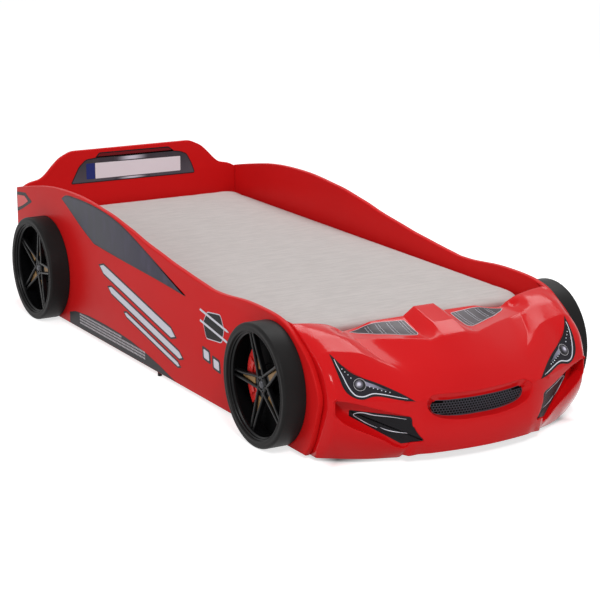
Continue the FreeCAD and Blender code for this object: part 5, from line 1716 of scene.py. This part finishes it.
# ---- mattress and base --------------------------------------------------------------------------
@dataclass
class Bedding:
    """The mattress, filled out by a cloth simulation, with piping round its foot."""
    corner: float = 55.0            # radius of its corners, seen from above
    rim: float = 14.0               # radius of its edges
    voxel: float = 12.0             # cell of the simulated mesh
    swell: float = 3.0              # room left for the simulation
    rest: float = 9.0               # room left for the crown
    frames: int = 16                # length of the simulation
    cap: float = 7.0                # furthest that the simulation may carry a place
    crown: float = 6.0              # rise of the top's middle over its rim
    crown_start: float = 60.0       # height where the crown sets in, and again where it is full
    lean_run: float = 70.0          # how far behind the front edge its lean ends
    lean_start: float = 8.0         # height over the cross panel where it sets in
    lean_rise: float = 26.0         # height over which it sets in
    piping_height: float = 16.0
    lift: float = 8.0               # how far the cover stands over the plain block
    overhang: float = 17.0          # how far its front edge leans over the cross panel
    droop: float = 9.0              # how far that edge hangs

    def outline(self, inset: float, steps: int = 10) -> list[Point]:
        """Rounded plan of the mattress, drawn in by an inset."""
        low, high = box_of("mattress")
        half, radius = high.x - inset, self.corner - inset * 0.3
        points = []
        for x, y, start in ((half, high.y - inset, 0), (-half, high.y - inset, 90),
                            (-half, low.y + inset, 180), (half, low.y + inset, 270)):
            cx, cy = x - math.copysign(radius, x), y - math.copysign(radius, y - (low.y + high.y) / 2)
            for i in range(steps + 1):
                a = math.radians(start + 90 * i / steps)
                points.append((cx + radius * math.cos(a), cy + radius * math.sin(a)))
        return points

    def block(self) -> bpy.types.Object:
        """The plain filled shape that the simulation starts from."""
        low, high = box_of("mattress")
        bm = bmesh.new()
        top = high.z - self.rest - self.swell + self.lift
        rounded_plate(bm, [Vector((x, y, low.z + 1)) for x, y in self.outline(4.0)],
                      Vector((0, 0, top - low.z - 1)), self.rim, 5)
        piece = add_piece(bm, "mattress_pad", COVER, ["mattress"], MATTRESS, 60.0)
        remesh = piece.modifiers.new("remesh", "REMESH")
        remesh.mode = "VOXEL"
        remesh.voxel_size = self.voxel * MM
        self.apply(piece)
        return piece

    def apply(self, piece: bpy.types.Object) -> None:
        """Make a piece's modifiers part of its mesh."""
        graph = bpy.context.evaluated_depsgraph_get()
        mesh = bpy.data.meshes.new_from_object(piece.evaluated_get(graph))
        piece.modifiers.clear()
        piece.data = mesh
        for polygon in mesh.polygons:
            polygon.use_smooth = True

    def simulate(self, piece: bpy.types.Object) -> None:
        """Blow the cover out a little with the Cloth simulation, and keep the result."""
        start = np.zeros(len(piece.data.vertices) * 3)
        piece.data.vertices.foreach_get("co", start)
        cloth = piece.modifiers.new("fill", "CLOTH")
        cloth.settings.use_pressure = True
        cloth.settings.uniform_pressure_force = 4.0
        cloth.settings.effector_weights.gravity = 0.0
        cloth.settings.quality = 4
        scene = bpy.context.scene
        for number in range(1, self.frames + 1):
            scene.frame_set(number)
        self.apply(piece)
        scene.frame_set(1)
        end = np.zeros_like(start)
        piece.data.vertices.foreach_get("co", end)
        step = (end - start).reshape(-1, 3)
        length = np.linalg.norm(step, axis=1, keepdims=True)
        limit = self.cap * MM
        step *= np.minimum(1.0, limit / np.maximum(length, 1e-9))
        piece.data.vertices.foreach_set("co", (start.reshape(-1, 3) + step).ravel())

    def settle(self, piece: bpy.types.Object) -> None:
        """Crown the top, keep the foot flat, and hold the pad inside its space."""
        low, high = box_of("mattress")
        ledge = box_of("front_cross_panel")[1].z + self.lean_start
        middle = (low.y + high.y) / 2
        half_x, half_y = high.x, (high.y - low.y) / 2
        for vert in piece.data.vertices:
            x, y, z = vert.co / MM
            reach = max(abs(x) / half_x, abs(y - middle) / half_y)
            share = max(0.0, min(1.0, (z - low.z - self.crown_start) / self.crown_start))
            z += share * self.crown * (1 - min(1.0, reach) ** 4)
            y = min(max(y, low.y), high.y)
            near = max(0.0, 1 - (y - low.y) / self.lean_run)
            above = max(0.0, min(1.0, (z - ledge) / self.lean_rise))
            y -= self.overhang * near * above
            z -= self.droop * near ** 2 * above
            vert.co = Vector((min(max(x, low.x), high.x), y, min(max(z, low.z), high.z + self.lift))) * MM

    def piping(self) -> None:
        """Tape edge round the foot of the mattress."""
        z = box_of("mattress")[0].z + self.piping_height
        bm = tube([Vector((x, y, z)) for x, y in self.outline(1.6)], 2.6, 8, True)
        add_piece(bm, "mattress_piping", PIPING, (), MATTRESS, 60.0)

    def build(self) -> None:
        """Make the mattress and its piping."""
        piece = self.block()
        self.simulate(piece)
        self.settle(piece)
        smooth = piece.modifiers.new("soften", "SUBSURF")
        smooth.levels = smooth.render_levels = 1
        self.piping()


@dataclass
class Base:
    """The slatted base and fittings, whose shapes are the frame's own."""
    slats: int = 12

    def dress(self, node: str, finish: Finish) -> None:
        """Give a node of the frame its finish."""
        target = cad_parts[node]
        target.data.materials.clear()
        target.data.materials.append(finish.material())

    def build(self) -> None:
        """Dress every node that shows as it is."""
        for number in range(1, self.slats + 1):
            self.dress("slat_%02d" % number, TIMBER_ACROSS)
        for node in ("slat_rail_left", "slat_rail_right", "centre_beam"):
            self.dress(node, TIMBER_ALONG)
        self.dress("beam_legs", TIMBER_UPRIGHT)
        for node in ("beam_shoes", "corner_brackets", "bracket_screws", "rail_screws", "wheel_screws",
                     "nose_screws"):
            self.dress(node, ZINC)
        self.dress("glides", GLIDE_BLACK)


# ---- studio -------------------------------------------------------------------------------------
@dataclass(frozen=True)
class Lamp:
    """A square soft lamp, in metres and watts."""
    name: str
    place: Triple
    aim: Triple
    size: float
    power: float

    def light(self) -> None:
        """Hang the lamp in the scene."""
        data = bpy.data.lights.new(self.name, "AREA")
        data.size = self.size
        data.energy = self.power
        lamp = bpy.data.objects.new(self.name, data)
        lamp.location = self.place
        lamp.rotation_mode = "QUATERNION"
        lamp.rotation_quaternion = (Vector(self.aim) - Vector(self.place)).to_track_quat("-Z", "Y")
        bpy.context.scene.collection.objects.link(lamp)


@dataclass
class Studio:
    """Pale floor, soft light and the camera."""
    eye: Triple = (-3154.2, -5593.6, 1861.1)
    yaw: float = -30.006
    pitch: float = -14.48
    focal: float = 1916.221             # in pixels
    frame_width: float = 600.0          # in pixels
    sensor: float = 36.0
    surroundings: float = 0.4           # strength of the light from all round
    floor_glow: float = 0.72
    painted_shade_x: Point = (370.0, 470.0)     # painted shade: the floor under the bed's footprint doesn't glow, so it shows darker there: fades in from, to
    painted_shade_y: Point = (1010.0, 1110.0)
    lamps: tuple[Lamp, ...] = (
        Lamp("key", (-3.0, -7.0, 6.2), (0, 0, 0.3), 1.7, 262),
        Lamp("glint", (-1.6, -4.8, 4.4), (0, -0.9, 0.3), 0.22, 26),
        Lamp("fill", (-5.0, 0.2, 2.4), (0, 0, 0.3), 1.8, 46),
        Lamp("top", (2.4, 1.2, 4.6), (0, -0.6, 0.2), 2.4, 98))

    def camera(self) -> None:
        """Camera at the photograph's angle."""
        data = bpy.data.cameras.new("camera")
        data.sensor_width = self.sensor
        data.lens = self.focal / self.frame_width * self.sensor
        data.clip_end = 60.0
        camera = bpy.data.objects.new("camera", data)
        yaw, pitch = math.radians(self.yaw), math.radians(self.pitch)
        way = Vector((-math.sin(yaw) * math.cos(pitch), math.cos(yaw) * math.cos(pitch), math.sin(pitch)))
        camera.location = Vector(self.eye) * MM
        camera.rotation_mode = "QUATERNION"
        camera.rotation_quaternion = way.to_track_quat("-Z", "Y")
        bpy.context.scene.collection.objects.link(camera)
        bpy.context.scene.camera = camera

    def world(self) -> None:
        """Even soft surroundings, white where they are seen straight or in a reflection."""
        world = bpy.data.worlds.new("studio")
        world.use_nodes = True
        bpy.context.scene.world = world
        wiring = Wiring(world.node_tree, "ShaderNodeOutputWorld")
        light, white = [wiring.node("ShaderNodeBackground", None, {"Color": colour, "Strength": strength})
                        for colour, strength in (((0.97, 0.98, 1, 1), self.surroundings),
                                                 ((1, 1, 1, 1), 1.0))]
        wiring.close(wiring.node("ShaderNodeMixShader", None, {0: wiring.looked_at(), 1: light, 2: white}))

    def floor(self) -> None:
        """A plain pale floor that shows white to the camera and keeps the bed's shadow, with painted shade
        under the bed's footprint, where its glow is taken away.
        """
        bm = bmesh.new()
        bmesh.ops.create_grid(bm, x_segments=1, y_segments=1, size=30.0)
        mesh = bpy.data.meshes.new("floor")
        bm.to_mesh(mesh)
        bm.free()
        floor = bpy.data.objects.new("floor", mesh)
        bpy.context.scene.collection.objects.link(floor)
        shader = Shader("floor_white")
        patch = shader.noise(900, 1)
        # painted shade: the glow fades out under the bed's footprint, so the floor shows darker there
        outside_painted_shade = shader.math("MAXIMUM", abs(shader.axis("X")).ramp(*self.painted_shade_x),
                             abs(shader.axis("Y")).ramp(*self.painted_shade_y))
        glow = shader.mix(shader.looked_at() * outside_painted_shade, (0.0, 0.0, 0.0), (self.floor_glow,) * 3)
        shader.surface(Base_Color=shader.shade((0.7, 0.7, 0.7), patch, 0.995, 1.005), Roughness=0.9,
                       Specular_IOR_Level=0.0, Emission_Color=glow, Emission_Strength=1.0)
        mesh.materials.append(shader.material)

    def build(self) -> None:
        """Set up the whole studio."""
        self.camera()
        self.world()
        self.floor()
        for lamp in self.lamps:
            lamp.light()
        bpy.context.scene.view_settings.view_transform = "Standard"


def main() -> None:
    logging.basicConfig(level=logging.INFO, format="%(name)s %(message)s")
    Studio().build()
    for side in Side:
        SidePanel(side).build()
    Headboard().build()
    CrossPanel().build()
    NoseShell().build()
    for side in Side:
        Wheel("front", side, 180.0, 180.0).build()
        Wheel("rear", side, 5.0, 0.0).build()
    Bedding().build()
    Base().build()


if __name__ == "__main__":
    main()
